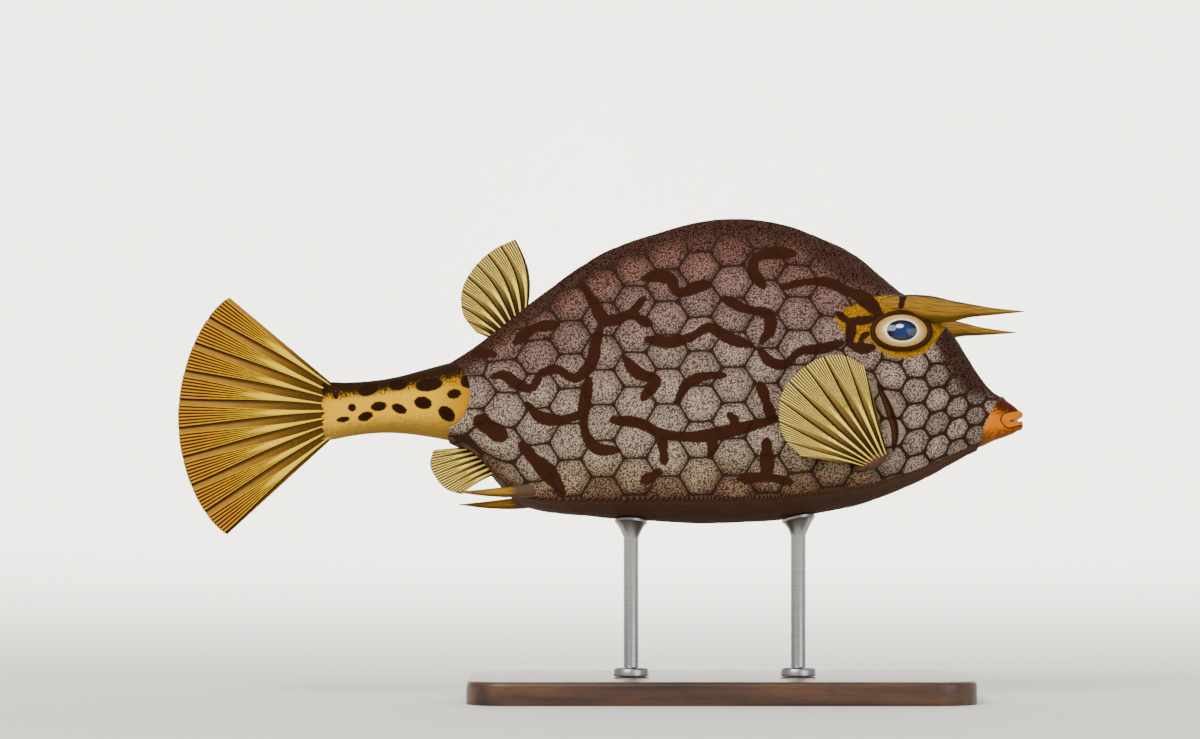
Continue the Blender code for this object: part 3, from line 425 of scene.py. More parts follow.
@dataclass(frozen=True)
class BodyForm:
    """The armour's form: at stations from tail to snout, its ridge, belly edge, half width and side.

    Each row is x, back, keel, half, shoulder out and drop, flank out and drop, corner and belly.
    """

    stations: tuple[tuple[float, ...], ...] = (
        (-104, 12, -1, 5, 5, 0.02, 7, 0.50, 4, -0.5),
        (-84, 24, -11, 8.5, 7.5, 0.03, 12.5, 0.50, 4.5, -1.5),
        (-66, 38, -27, 14.5, 7.5, 0.07, 16, 0.52, 4.5, 0.2),
        (-40, 56.5, -29.6, 22.5, 7.5, 0.08, 20.5, 0.55, 5.5, 2.2),
        (-23, 63.1, -30.1, 27.4, 8, 0.08, 23.4, 0.55, 6, 2.8),
        (-6, 67.8, -30.6, 30, 8.5, 0.08, 25, 0.55, 6.5, 3.1),
        (8, 68.6, -30.3, 29.6, 9, 0.075, 24.8, 0.54, 6.5, 3),
        (24, 66.1, -29.3, 28.5, 9.5, 0.07, 24.5, 0.53, 6.5, 2.8),
        (34, 62, -27.6, 25.8, 10.4, 0.05, 24, 0.5, 6.5, 2.5),
        (46, 56, -25.6, 21.5, 13.5, 0.03, 23.5, 0.46, 6.5, 2.2),
        (61, 42.4, -20.6, 16, 24.5, -0.03, 21.5, 0.38, 6, 1.8),
        (71, 36, -16.2, 12.5, 27, -0.06, 17.5, 0.42, 5, 1.6),
        (79.5, 26.6, -11.8, 9, 16.5, -0.01, 14.5, 0.42, 4.5, 1.2),
        (86, 16.6, -9, 7.2, 8.5, 0, 11, 0.48, 4, 0.8),
        (93, 9.2, -7.4, 6, 6, 0, 8.4, 0.50, 3.6, 0.5),
        (108, 5, -5, 4.6, 4, 0, 5.6, 0.50, 3, 0),
    )
    step: float = 0.5
    side_steps: int = 30
    corner_steps: int = 8
    belly_steps: int = 10
    columns: int = 361
    table: dict[str, Array] = field(default_factory=dict)

    def __post_init__(self) -> None:
        """Tabulates the half section at each step of x."""
        xs = np.arange(self.stations[0][0], self.stations[-1][0] + self.step, self.step)
        fields = [monotone([(row[0], row[k]) for row in self.stations], xs) for k in range(1, 10)]
        sections, totals, edges = [], [], []
        for row in zip(*fields):
            outline = self.half_section(*row)
            arc = arc_lengths(outline)
            reads = np.linspace(0, arc[-1], self.columns)
            sections.append(np.stack([np.interp(reads, arc, outline[:, k]) for k in (0, 1)], 1))
            totals.append(arc[-1])
            edges.append(arc[self.side_steps + self.corner_steps // 2])
        self.table.update(x=xs, section=np.array(sections), total=np.array(totals), edge=np.array(edges))

    def half_section(self, *row: float) -> Array:
        """The left half of the section, from the ridge round the belly's edge to its middle, as y and z."""
        back, keel, half, shoulder_out, shoulder_drop, flank_out, flank_drop, corner, belly = row
        height = back - keel
        flank = (flank_out, back - flank_drop * height)
        foot = (half, keel + corner)
        shoulder = (shoulder_out, back - shoulder_drop * height)
        side = bezier([(0, back), shoulder, flank, foot], self.side_steps)
        flare = (foot[0] - flank[0]) / (flank[1] - foot[1]) * corner
        toe = half + flare - corner
        edge = bezier([foot, (half + flare, keel), (toe, keel)], self.corner_steps)
        share = np.linspace(0, 1, self.belly_steps + 1)
        under = np.stack([toe * (1 - share), keel - belly * (1 - (1 - share) ** 2) ** 2], 1)
        return np.concatenate([side[:-1], edge[:-1], under])

    def total(self, x: Array) -> Array:
        """The distance from ridge to belly's middle at x."""
        return np.interp(x, self.table["x"], self.table["total"])

    def edge(self, x: Array) -> Array:
        """The distance from the ridge to the belly's edge at x."""
        return np.interp(x, self.table["x"], self.table["edge"])

    def point(self, x: Array, share: Array) -> Array:
        """Points of the skin.

        Args:
            x: places along the fish.
            share: places round it, 0 on the ridge and 1 or -1 on the belly's midline, positive to the left.

        Returns:
            One point a row.
        """
        x, share = np.broadcast_arrays(np.asarray(x, float), np.asarray(share, float))
        share = (share + 1) % 2 - 1
        row = np.clip((x - self.table["x"][0]) / self.step, 0, len(self.table["x"]) - LAST_CELL)
        column = np.clip(np.abs(share) * (self.columns - 1), 0, self.columns - LAST_CELL)
        i, j = row.astype(int), column.astype(int)
        a, b = (row - i)[:, None], (column - j)[:, None]
        grid = self.table["section"]
        near = grid[i, j] * (1 - b) + grid[i, j + 1] * b
        far = grid[i + 1, j] * (1 - b) + grid[i + 1, j + 1] * b
        read = near * (1 - a) + far * a
        return np.stack([x, np.where(share < 0, -1, 1) * read[:, 0], read[:, 1]], 1)

    def normal(self, x: Array, share: Array, reach: float = 0.7) -> Array:
        """The way out of the skin at places given as for point."""
        x, share = np.broadcast_arrays(np.asarray(x, float), np.asarray(share, float))
        turn = reach / self.total(x)
        forward = self.point(x + reach, share) - self.point(x - reach, share)
        around = self.point(x, share + turn) - self.point(x, share - turn)
        out = np.cross(forward, around)
        return unit(out)

    def flank_share(self, x: Array, z: Array, side: Side) -> Array:
        """The place round the body of the flank's point at x and height z."""
        shares = []
        for at, height in zip(np.atleast_1d(x), np.atleast_1d(z)):
            reads = np.linspace(0, self.edge(at) / self.total(at), FLANK_READS)
            heights = self.point(np.full(FLANK_READS, at), reads)[:, 2]
            top = int(np.argmax(heights))
            shares.append(np.interp(-height, -heights[top:], reads[top:]))
        return side.value * np.array(shares)

    def off_flank(self, x: Array, z: Array, side: Side, distance: Array | float) -> Array:
        """Points at a distance out from the flank at x and height z."""
        x = np.atleast_1d(x).astype(float)
        share = self.flank_share(x, z, side)
        away = np.broadcast_to(np.asarray(distance, float), x.shape)[:, None]
        return self.point(x, share) + self.normal(x, share) * away


@dataclass(frozen=True)
class PlateLattice:
    """Where the bony plates lie: rings of hexagons, smaller towards the snout."""

    body: BodyForm
    heights: Stops = ((-84.0, 12.2), (20.0, 12.8), (46.0, 11.2), (62.0, 8.9), (80.0, 7.2), (95.0, 5.6))
    ring_pitch: float = math.cos(math.radians(30))
    nearest_to_midline: float = 0.35
    on_midline_from: float = 0.85
    level_from_x: float = -50.0
    level_z: float = 4.0
    start_margin: float = 1.6
    end_margin: float = 11.0
    most_in_a_row: int = 40

    def height(self, x: float) -> float:
        """A plate's height at x."""
        return float(monotone(self.heights, np.array([x]))[0])

    def row_line(self, x: float) -> float:
        """The distance from the ridge to the line that the rows are counted from."""
        edge = float(self.body.edge(x))
        if x >= self.level_from_x:
            return edge
        level = [
            abs(float(self.body.flank_share(at, self.level_z, Side.LEFT)[0]) * float(self.body.total(at)))
            for at in (x, self.level_from_x)
        ]
        return level[0] + float(self.body.edge(self.level_from_x)) - level[1]

    def half_row(self, x: float, on_line: bool) -> list[float]:
        """Plate centres down the left half of one ring, as distances from the ridge."""
        total, height = float(self.body.total(x)), self.height(x)
        first = self.row_line(x) % height + (0.0 if on_line else 0.5 * height) - 2 * height
        least, most = self.nearest_to_midline * height, total - self.nearest_to_midline * height
        places = [first + k * height for k in range(self.most_in_a_row)]
        row = [place for place in places if least <= place <= most]
        if row[0] >= self.on_midline_from * height:
            row.insert(0, 0.0)
        if total - row[-1] >= self.on_midline_from * height:
            row.append(total)
        return row

    def rings(self) -> list[tuple[float, list[float]]]:
        """Rings of plate centres from tail to snout, reaching past both rims."""
        x, rings = REAR_RIM_X - self.start_margin * self.heights[0][1], []
        while x < SNOUT_CUT[0][0] + self.end_margin:
            rings.append((x, self.half_row(x, len(rings) % 2 == 0)))
            x += self.ring_pitch * self.height(x)
        return rings

    def corner_between(self, centres: Sequence[tuple[float, float]]) -> tuple[float, float]:
        """Where the borders between three plates meet, as x and distance from the ridge."""
        x = sum(cx for cx, _ in centres) / len(centres)
        totals = [float(self.body.total(cx)) for cx, _ in centres]
        from_ridge = sum(q for _, q in centres) / len(centres)
        from_belly = sum(total - q for total, (_, q) in zip(totals, centres)) / len(centres)
        share = sum(q / total for total, (_, q) in zip(totals, centres)) / len(centres)
        return x, (1 - share) * from_ridge + share * (float(self.body.total(x)) - from_belly)

    def corners(self, rings: list[tuple[float, list[float]]]) -> dict[tuple[int, int, int], list[Any]]:
        """The border corners round each plate.

        Args:
            rings: what rings() gives.

        Returns:
            For each plate as (ring, place, side), its corners as x and signed distance from the ridge.
        """
        found: dict[tuple[int, int, int], list[Any]] = {}

        def note(x: float, q: float, plates: Sequence[tuple[int, int, int]]) -> None:
            """Adds one corner to each plate that it touches."""
            for plate in plates:
                found.setdefault(plate, []).append((x, q))

        for i, ((xa, row_a), (xb, row_b)) in enumerate(zip(rings, rings[1:])):
            above_a = [self.row_line(xa) - q for q in row_a]
            above_b = [self.row_line(xb) - q for q in row_b]
            middles = {0.0, float(self.body.total(xa)), float(self.body.total(xb))}
            a = b = 0
            while a < len(row_a) - 1 or b < len(row_b) - 1:
                step_a = b == len(row_b) - 1 or (a < len(row_a) - 1 and above_a[a + 1] >= above_b[b + 1])
                three = [(i, a), (i + 1, b), (i, a + 1) if step_a else (i + 1, b + 1)]
                x, q = self.corner_between([(rings[r][0], rings[r][1][k]) for r, k in three])
                for side in (1, -1):
                    note(x, side * q, [(r, k, 0 if rings[r][1][k] in middles else side) for r, k in three])
                a, b = (a + 1, b) if step_a else (a, b + 1)
            for ka, kb in ((0, 0), (len(row_a) - 1, len(row_b) - 1)):
                plates = [(i, ka, 0)] if row_a[ka] in middles else [(i, ka, 1), (i, ka, -1)]
                plates += [(i + 1, kb, 0)] if row_b[kb] in middles else [(i + 1, kb, 1), (i + 1, kb, -1)]
                x = sum(rings[r][0] for r, _, _ in plates) / len(plates)
                note(x, 0.0 if ka == 0 else float(self.body.total(x)), plates)
        return found


@dataclass(frozen=True)
class Markings:
    """The armour's colour pattern, drawn on the side view: x along it, v up it as the viewer sees it."""

    body: BodyForm
    # half width in mm, then the route of each scrawl
    scrawls: tuple[tuple[float, Stops], ...] = (
        (1.9, ((-46.5, 46.5), (-42, 39), (-39.5, 34.5), (-30, 36.5), (-26, 41))),
        (1.5, ((-30, 36.5), (-26.5, 34), (-23.5, 32.5))),
        (1.8, ((-39.5, 34.5), (-42, 26), (-43.5, 19.5), (-49, 14.5), (-55.5, 17.5), (-60.5, 16))),
        (1.7, ((-60.5, 16), (-64, 11), (-69, 13), (-73, 15.5), (-77, 15))),
        (1.9, ((-26, 48), (-21, 49), (-17, 48), (-14.5, 43.5), (-6.5, 45.5), (-4, 46))),
        (1.9, ((25, 56.5), (16.5, 56.5), (12, 55), (11, 50.5), (14.5, 45.5))),
        (1.8, ((1.5, 41), (7.5, 38), (16.5, 35), (16.5, 31), (13.5, 26.5))),
        (1.5, ((21, 45), (29.5, 47), (37, 46.5), (42, 44), (47.5, 41.8))),
        (1.8, ((-24.5, 27.5), (-17, 26.5), (-10.5, 28), (-4, 31.5), (2.5, 28), (10, 25.5))),
        (1.6, ((13, 24), (16.5, 20), (21.5, 19), (25.5, 23), (34.5, 24.5), (40.5, 26.5))),
        (1.8, ((-32.5, 21.5), (-27.5, 16), (-21.5, 14), (-26, 8))),
        (1.6, ((-15, 6.5), (-12, 12), (-6.5, 15), (1, 15.5))),
        (1.7, ((-69, 26.5), (-63.5, 31), (-55, 32.5))),
        (1.5, ((-83.5, 22.5), (-80, 23), (-76, 22.5))),
        (1.8, ((-65, 6), (-60.5, 1.5), (-54.5, 0.5), (-46.5, 2.5))),
        (1.8, ((-44, 14), (-46, 2.5), (-45, -5), (-41.5, -9), (-35, -9.5))),
        (1.9, ((-36, 0.5), (-27.5, -0.5), (-21, -3.5), (-10.5, -5), (1, -3.5), (9, -1.5), (18, 0.5))),
        (1.5, ((-20, -4.5), (-19.5, -9), (-19, -13.5))),
        (1.5, ((-2.5, -5), (-3, -8), (-4, -11.5))),
        (1.3, ((2.5, 2.5), (4, 1), (5, -1))),
        (1.7, ((13, 12.5), (15, 6.5), (17, 0.5))),
        (2.5, ((-66.5, -8), (-62, -13), (-57, -18), (-53, -23.5))),
        (2.6, ((-81, 0.5), (-77, -2.5), (-73, -5))),
        (1.5, ((-26.5, -20), (-24, -18.5), (-21, -16.5))),
        (2.2, ((15, -6.5), (15, -12), (15, -18))),
        (1.5, ((5.5, -19), (15, -18.5), (23, -20))),
    )
    patch: Stops = (
        (38.1, 34.4), (40.5, 37.4), (49.2, 40.8), (51.6, 41.8), (61.7, 42.8), (70.8, 41.5), (80.9, 39.1),
        (80.9, 34.7), (76.2, 32.4), (72.2, 27), (68.5, 22.9), (61.7, 20.9), (56.3, 21.6), (52.6, 24.3),
        (50.3, 27), (46.2, 26.3), (42.2, 28.3),
    )
    branches: tuple[tuple[float, Stops], ...] = (
        (2.3, ((40.5, 44.5), (47, 42), (50.8, 38.8), (54, 34.5))),
        (1.3, ((39.3, 36.3), (42.3, 34), (46, 33.7), (52, 34.6))),
        (1.6, ((44, 34), (43.5, 29.3), (43, 26.4), (46.5, 24.4), (51, 24.8))),
        (1.2, ((61.4, 44.5), (61, 41), (60.4, 38.4))),
        (0.9, ((49.5, 29.5), (47.5, 28.4), (46.6, 25.8))),
    )
    gill: Stops = ((52.4, 9.5), (56.2, 0.8), (58.2, -7.0), (57.5, -13.2))
    # how far the dark back comes down from the outline, at x
    back_reach: Stops = (
        (-84, 5), (-70, 3.2), (-55, 2.8), (0, 3.8), (25, 4.5), (33, 7), (40, 10.5), (48, 9), (54, 5), (60, 3),
        (66, 4), (72, 10), (79, 13), (84, 9), (90, 2.5), (100, 1),
    )
    gill_open: float = 1.15  # half of the opening's width where it is widest
    far_shift: float = 5.0
    far_wave: float = 3.5
    samples_a_stop: int = 5

    def side_view(self, points: Array) -> Array:
        """Places as the viewer sees them, x and v. The far flank gets a shifted version of the pattern."""
        x, y, z = points.T
        v = z * math.cos(BANK) + np.abs(y) * math.sin(BANK)
        far = smoothstep(0.0, 1.0, y) * (1 - smoothstep(34, 42, x))
        x = x + far * (self.far_shift + self.far_wave * np.sin(v / 8))
        return np.stack([x, v + far * self.far_wave * np.sin(x / 12)], 1)

    def nearest(self, places: Array, strokes: Sequence[tuple[float, Stops]]) -> Array:
        """Signed distance in mm to the nearest stroke's edge, negative inside a stroke."""
        best = np.full(len(places), 8.0)
        for half, route in strokes:
            line = curve_through(route, np.linspace(0, 1, self.samples_a_stop * (len(route) - 1) + 1))
            low, high = line.min(0) - 8, line.max(0) + 8
            near = np.all((places > low) & (places < high), axis=1)
            shares = np.linspace(0, 1, len(line) - 1)
            swell = half * (0.92 + 0.2 * np.sin(9 * shares + line[0, 0]))
            swell = swell * (1 - 0.45 * np.abs(2 * shares - 1) ** 6)
            for k, width in enumerate(swell):
                best[near] = np.minimum(best[near], distance_to_line(places[near], line[k : k + 2]) - width)
        return best

    def from_top(self, points: Array) -> Array:
        """How far each point lies below the back's outline as the viewer sees it, 0 on the back beyond it."""
        xs = self.body.table["x"]
        section = self.body.table["section"]
        v = section[:, :, 1] * math.cos(BANK) + section[:, :, 0] * math.sin(BANK)
        top, crest = v.max(1), section[np.arange(len(xs)), v.argmax(1), 0]
        seen = points[:, 2] * math.cos(BANK) + np.abs(points[:, 1]) * math.sin(BANK)
        below = np.interp(points[:, 0], xs, top) - seen
        return np.where(np.abs(points[:, 1]) < np.interp(points[:, 0], xs, crest), 0.0, below)

    def off_back(self, points: Array) -> Array:
        """Distance in mm down from the dark back's lower edge, negative on the dark back."""
        return self.from_top(points) - monotone(self.back_reach, points[:, 0])

    def paint(self, piece: bpy.types.Object, points: Array) -> None:
        """Stores the pattern's distances, all in mm, at the piece's points."""
        seen = self.side_view(points)
        gill = curve_through(self.gill, np.linspace(0, 1, CURVE_READS))
        flank = points[:, (0, 2)]
        down = np.clip((gill[0, 1] - flank[:, 1]) / (gill[0, 1] - gill[-1, 1]), 0, 1)
        open_half = self.gill_open * np.sin(math.pi * down) ** 0.7
        set_field(piece, "fish", points)
        set_field(piece, "scrawl", self.nearest(seen, self.scrawls))
        set_field(piece, "patch", np.clip(inside_outline(seen, np.array(self.patch)), -8, 8))
        set_field(piece, "branch", self.nearest(seen, self.branches))
        set_field(piece, "gill", np.clip(distance_to_line(flank, gill) - open_half, -3, 12))
        set_field(
            piece,
            "gill_side",
            np.clip(np.interp(flank[:, 1], gill[::-1, 1], gill[::-1, 0]) - flank[:, 0], -9, 9),
        )
        set_field(piece, "back", np.clip(self.off_back(points), -12, 40))


@dataclass(frozen=True)
class ArmourFinish:
    """Cowfish armour: satin, granular bone plates under thin moist skin, with dark skin in the seams."""

    # darker towards the ridge and the belly's edge: partly the armour's own colour bands, partly painted
    # shade
    flank: tuple[tuple[float, str], ...] = (
        (0.0, "#45271E"),
        (0.16, "#634238"),
        (0.34, "#725850"),
        (0.62, "#847062"),
        (0.84, "#877564"),
        (0.94, "#745F48"),
        (1.0, "#5C4130"),
    )
    head: str = "#887466"
    dark: str = "#321A0F"
    back: str = "#200E07"
    # painted highlight on the granules of the dark back
    back_grain_highlight: str = "#4C342A"
    ochre: str = "#AC7A18"
    # painted shade in the gaps between the ochre patch's granules
    ochre_grain_shade: str = "#74500A"
    # painted shade under the body: a darker underside with lighter hatch lines
    belly: str = "#28140A"
    belly_hatch: str = "#583E2E"
    seam: str = "#2E1E15"
    gill_red: str = "#48301C"
    granule_mm: float = 0.56
    hatch_mm: float = 0.7
    sheen: float = 0.03
    roughness: float = 0.68
    skin_ior: float = 1.4

    def make(self) -> bpy.types.Material:
        """The armour's material, reading the fields that Markings and Carapace store."""
        paint = Paint("Granular_bone_plate_skin", self.sheen)
        read = {
            name: paint.add("Attribute", out="Fac", attribute_name=name) for name in (
                "border",
                "scrawl",
                "patch",
                "branch",
                "gill",
                "gill_side",
                "back",
                "down",
                "under",
                "cheek",
                "tone",
            )
        }
        place = paint.add("Attribute", out="Vector", attribute_name="fish")
        grain = paint.add("TexVoronoi",
            {"Vector": place, "Scale": 1 / self.granule_mm, "Randomness": 0.85},
            "Distance",
        )
        edge_noise = paint.add("TexNoise", {"Vector": place, "Scale": 0.9, "Detail": 3.0}, "Fac")
        broad = paint.add("TexNoise", {"Vector": place, "Scale": 0.07, "Detail": 2.0}, "Fac")
        wobble = paint.add("Math", {0: edge_noise, 1: 1.0, 2: -0.5}, operation="MULTIPLY_ADD")

        def mask(value: bpy.types.NodeSocket, low: float, high: float, shake: float) -> bpy.types.NodeSocket:
            """1 where the field is below low, 0 above high, its edge shaken by shake mm."""
            moved = paint.add("Math", {0: wobble, 1: shake, 2: value}, operation="MULTIPLY_ADD")
            return paint.add("MapRange", {"Value": moved, "From Min": high, "From Max": low}, **SOFT)

        tone = paint.add("Math", {0: broad, 1: 0.22, 2: read["down"]}, operation="MULTIPLY_ADD")
        tone = paint.add("Math", {0: tone, 1: -0.11}, operation="ADD")
        # partly painted shade: the ramp darkens towards the ridge and towards the belly's edge
        flank = paint.add("ValToRGB", {"Fac": tone}, stops=self.flank)
        plate = paint.coats(flank, [(read["cheek"], self.head)])
        plate = paint.add("HueSaturation", {"Value": read["tone"], "Color": plate})
        spot = paint.add("MapRange",
            {"Value": grain, "From Min": 0.32, "From Max": 0.62, "To Min": 1.0, "To Max": 0.0},
        )
        rim_shade = paint.add("MapRange",
            {"Value": read["border"], "From Min": 0.3, "From Max": 3.2, "To Min": 0.62, "To Max": 1.0},
        )
        # painted highlight on the granules' tops and painted shade in the gaps between them: lit and shaded
        # copies of the plate's colour
        lit = paint.add("HueSaturation", {"Value": 1.74, "Saturation": 0.86, "Color": plate})
        low = paint.add("HueSaturation", {"Value": 0.36, "Saturation": 1.12, "Color": plate})
        stippled = paint.coats(low, [(spot, lit)])
        stippled = paint.add("HueSaturation", {"Value": rim_shade, "Color": stippled})
        seam_wide = mask(read["border"], 0.22, 0.5, 0.4)
        seam_thin = mask(read["border"], 0.18, 0.46, 0.3)
        seam = paint.add("Mix", {0: read["cheek"], 2: seam_thin, 3: seam_wide}, data_type="FLOAT")
        hatch = paint.add("TexWave",
            {"Vector": place, "Scale": 1 / self.hatch_mm / 3.2, "Distortion": 1.2, "Detail": 1.0},
            "Fac",
            bands_direction="DIAGONAL",
        )
        belly = paint.coats(self.belly, [(hatch, self.belly_hatch)])
        gill_band = mask(read["gill"], 1.2, 2.8, 0.8)
        behind = mask(read["gill_side"], 0.1, -0.3, 0.2)
        # painted shade in the sunk gill opening; the red behind it is the gill's own colour
        slit = mask(read["gill"], 0.15, 0.4, 0.2)
        inner = mask(read["gill"], -0.45, -0.1, 0.3)
        red = paint.add("Math", {0: inner, 1: behind}, operation="MULTIPLY")
        pale_band = paint.add("Math", {0: gill_band, 1: 0.45}, operation="MULTIPLY")
        # the dark back, with a painted highlight on each granule
        back = paint.coats(self.back, [(spot, self.back_grain_highlight)])
        back_soft = mask(read["back"], -2.0, 5.5, 3.0)
        back_part = paint.add("Math", {0: back_soft, 1: 0.96}, operation="MULTIPLY")
        patch = mask(read["patch"], -0.25, 0.25, 1.2)
        # the ochre patch, with painted shade between its granules
        ochre = paint.coats(self.ochre_grain_shade, [(spot, self.ochre)])
        colour = paint.coats(stippled,
            [
                (pale_band, "#927D6A"),
                (seam, self.seam),
                (back_part, back),
                (mask(read["scrawl"], -0.05, 0.4, 1.0), self.dark),
                # painted shade: the underside darker and hatched
                (mask(read["under"], 0.9, 0.1, 0.6), belly),
                (patch, ochre),
                (mask(read["branch"], -0.1, 0.3, 0.8), self.dark),
                # painted shade in the sunk gill opening
                (slit, self.dark),
                (red, self.gill_red),
            ],
        )
        height = paint.add("Math", {0: grain, 1: -1.0}, operation="MULTIPLY")
        return paint.done(
            {"Base Color": colour, "Roughness": self.roughness, "IOR": self.skin_ior}, height, 0.35, 0.25
        )


@dataclass(frozen=True)
class EyeFinish:
    """A fish's eye under its wet cornea: an ochre iris with a white inner ring, a deep blue pupil and a
    painted white highlight.
    """

    iris: str = "#B07C3C"
    iris_pale: str = "#DCB062"
    iris_ring: str = "#FFF2DC"
    pupil: str = "#122A5C"
    pupil_edge: str = "#03060A"
    sclera: str = "#8A5E20"
    cornea_ior: float = 1.38

    def make(self) -> bpy.types.Material:
        """The eye's material, reading how far out from its middle each point is."""
        paint = Paint("Wet_fish_eye", BARE)
        out = paint.add("Attribute", out="Fac", attribute_name="iris")
        high = paint.add("Attribute", out="Fac", attribute_name="high")
        place = paint.add("Attribute", out="Vector", attribute_name="fish")
        fleck = paint.add("TexNoise", {"Vector": place, "Scale": 1.6, "Detail": 3.0}, "Fac")
        ring = paint.add("ValToRGB",
            {"Fac": out},
            stops=(
                (0.0, self.pupil),
                (0.24, self.pupil),
                (0.48, self.pupil_edge),
                (0.55, self.pupil_edge),
                (0.57, self.iris_ring),
                (0.61, self.iris_ring),
                (0.67, self.iris_pale),
                (0.95, self.iris),
                (1.0, self.sclera),
            ),
        )
        darker = paint.add("HueSaturation", {"Value": 0.86, "Color": ring})
        # painted highlight: the white glint on the cornea
        light = paint.add("MapRange", {"Value": high, "From Min": 0.20, "From Max": 0.34}, **SOFT)
        colour = paint.coats(ring, [(fleck, darker), (light, "#FFFFFF")])
        return paint.done(
            {
                "Base Color": colour,
                "Roughness": 0.12,
                "IOR": self.cornea_ior,
                "Coat Weight": 0.3,
                "Coat Roughness": 0.04,
            }
        )


@dataclass(frozen=True)
class LidFinish:
    """Wet dark skin of the eye's rim."""

    colour: str = "#271200"

    def make(self) -> bpy.types.Material:
        """The lids' material, mottled and finely wrinkled."""
        paint = Paint("Wet_dark_lid_skin", PAINTED)
        place = paint.add("TexCoord", out="Object")
        fleck = paint.add("TexNoise", {"Vector": place, "Scale": 900.0, "Detail": 3.0}, "Fac")
        colour = paint.coats(self.colour, [(fleck, "#3A2410")])
        return paint.done({"Base Color": colour, "Roughness": 0.38}, fleck, 0.4, 0.1)


@dataclass(frozen=True)
class EyeForm:
    """One big oval eye a side, in a socket with a swollen rim."""

    body: BodyForm
    x: float = 60.5
    z: float = 27.4
    half_width: float = 10.2
    half_height: float = 7.2
    half_depth: float = 5.4
    sunk: float = 2.9
    meridians: int = 96
    parallels: int = 64
    lid_half: tuple[float, float] = (9.4, 6.1)
    lid_radius: float = 0.95
    lid_lift: float = 0.45
    socket_depth: float = 3.2
    lid_stops: int = 96
    lid_sides: int = 14

    def reach(self, points: Array) -> Array:
        """How far out from the eye each point lies, 1 on its rim, measured on the side view."""
        return np.hypot(
            (points[:, 0] - self.x) / self.lid_half[0], (points[:, 2] - self.z) / self.lid_half[1]
        )

    def place(self, side: Side) -> tuple[Array, Array]:
        """The middle of the eyeball, and the way it looks."""
        share = self.body.flank_share(self.x, self.z, side)
        skin = self.body.point(np.array([self.x]), share)[0]
        looks = self.body.normal(np.array([self.x]), share)[0] + (0.05, side.value, 0)
        looks = looks / np.linalg.norm(looks)
        return skin - looks * self.sunk, looks

    def ball(self, side: Side) -> bpy.types.Object:
        """The eyeball, with its cornea bulging a little over the pupil."""
        middle, looks = self.place(side)
        along = np.array([1.0, 0, 0]) - looks * looks[0]
        along = along / np.linalg.norm(along)
        turn = np.stack([along, np.cross(looks, along), looks], 1)
        deselect()
        bpy.ops.mesh.primitive_uv_sphere_add(segments=self.meridians, ring_count=self.parallels, radius=1.0)
        piece = bpy.context.object
        piece.name = piece.data.name = f"eyeball_{side.label}"
        sphere = np.empty(len(piece.data.vertices) * 3, np.float32)
        piece.data.vertices.foreach_get("co", sphere)
        sphere = sphere.reshape(-1, 3)
        out = np.hypot(sphere[:, 0], sphere[:, 1])
        bulge = 1 + 0.07 * np.where(sphere[:, 2] > 0, np.exp(-((out / 0.45) ** 2)), 0)
        ball = sphere * (self.half_width, self.half_height, self.half_depth) * bulge[:, None]
        places = middle + ball @ turn.T
        piece.data.vertices.foreach_set("co", to_stand(places).astype(np.float32).ravel())
        front = np.where(sphere[:, 2] > 0, out, 2 - out)
        # the ball's rim lies under the lids, and the iris reaches to them
        set_field(piece, "iris", np.clip(front / 0.88, 0, 1.2))
        # a painted highlight: where the white glint lies on the cornea, above the pupil
        glint = np.hypot((sphere[:, 0] + 0.07) / 0.13, (sphere[:, 1] * np.sign(turn[2, 1]) - 0.17) / 0.10)
        set_field(piece, "high", np.where(sphere[:, 2] > 0, np.clip(1.2 - glint, 0, 1), 0))
        set_field(piece, "fish", places)
        return finish_piece(piece, EyeFinish().make(), (f"eye_{side.label}",))

    def lids(self, side: Side) -> bpy.types.Object:
        """The swollen rim, thicker above, lying on the head."""
        turns = full_turn(self.lid_stops)
        x = self.x + self.lid_half[0] * np.cos(turns)
        z = self.z + self.lid_half[1] * np.sin(turns)
        line = self.body.off_flank(x, z, side, self.lid_lift)
        tangent = unit(np.roll(line, -1, 0) - np.roll(line, 1, 0))
        outward = line - self.place(side)[0]
        across = unit(np.cross(tangent, outward))
        outward = np.cross(across, tangent)
        thick = self.lid_radius * (1 + 0.18 * np.sin(turns))[:, None, None]
        angles = full_turn(self.lid_sides)[None, :, None]
        ring = across[:, None] * np.cos(angles) + outward[:, None] * np.sin(angles) * 1.15
        tube = line[:, None] + thick * ring
        faces = wrapped_faces(self.lid_stops, self.lid_sides, closed=True)
        piece = mesh_piece(f"eyelids_{side.label}", tube.reshape(-1, 3), faces)
        face_outwards(piece)
        return finish_piece(piece, LidFinish().make())


def wrapped_faces(stops: int, sides: int, closed: bool = False) -> Array:
    """Four-sided faces of a tube of rings.

    Args:
        stops: how many rings.
        sides: how many points in each.
        closed: whether the last ring joins the first.

    Returns:
        One face a row, as point numbers.
    """
    i, j = np.meshgrid(np.arange(stops if closed else stops - 1), np.arange(sides), indexing="ij")
    here, there = i * sides, (i + 1) % stops * sides
    after = (j + 1) % sides
    return np.stack([here + j, there + j, there + after, here + after], -1).reshape(-1, 4)


def face_outwards(piece: bpy.types.Object, merge_mm: float = 0.001) -> None:
    """Merges doubles and turns every face outwards."""
    select_only(piece)
    bpy.ops.object.mode_set(mode="EDIT")
    bpy.ops.mesh.select_all(action="SELECT")
    bpy.ops.mesh.remove_doubles(threshold=merge_mm * MM)
    bpy.ops.mesh.normals_make_consistent(inside=False)
    bpy.ops.object.mode_set(mode="OBJECT")


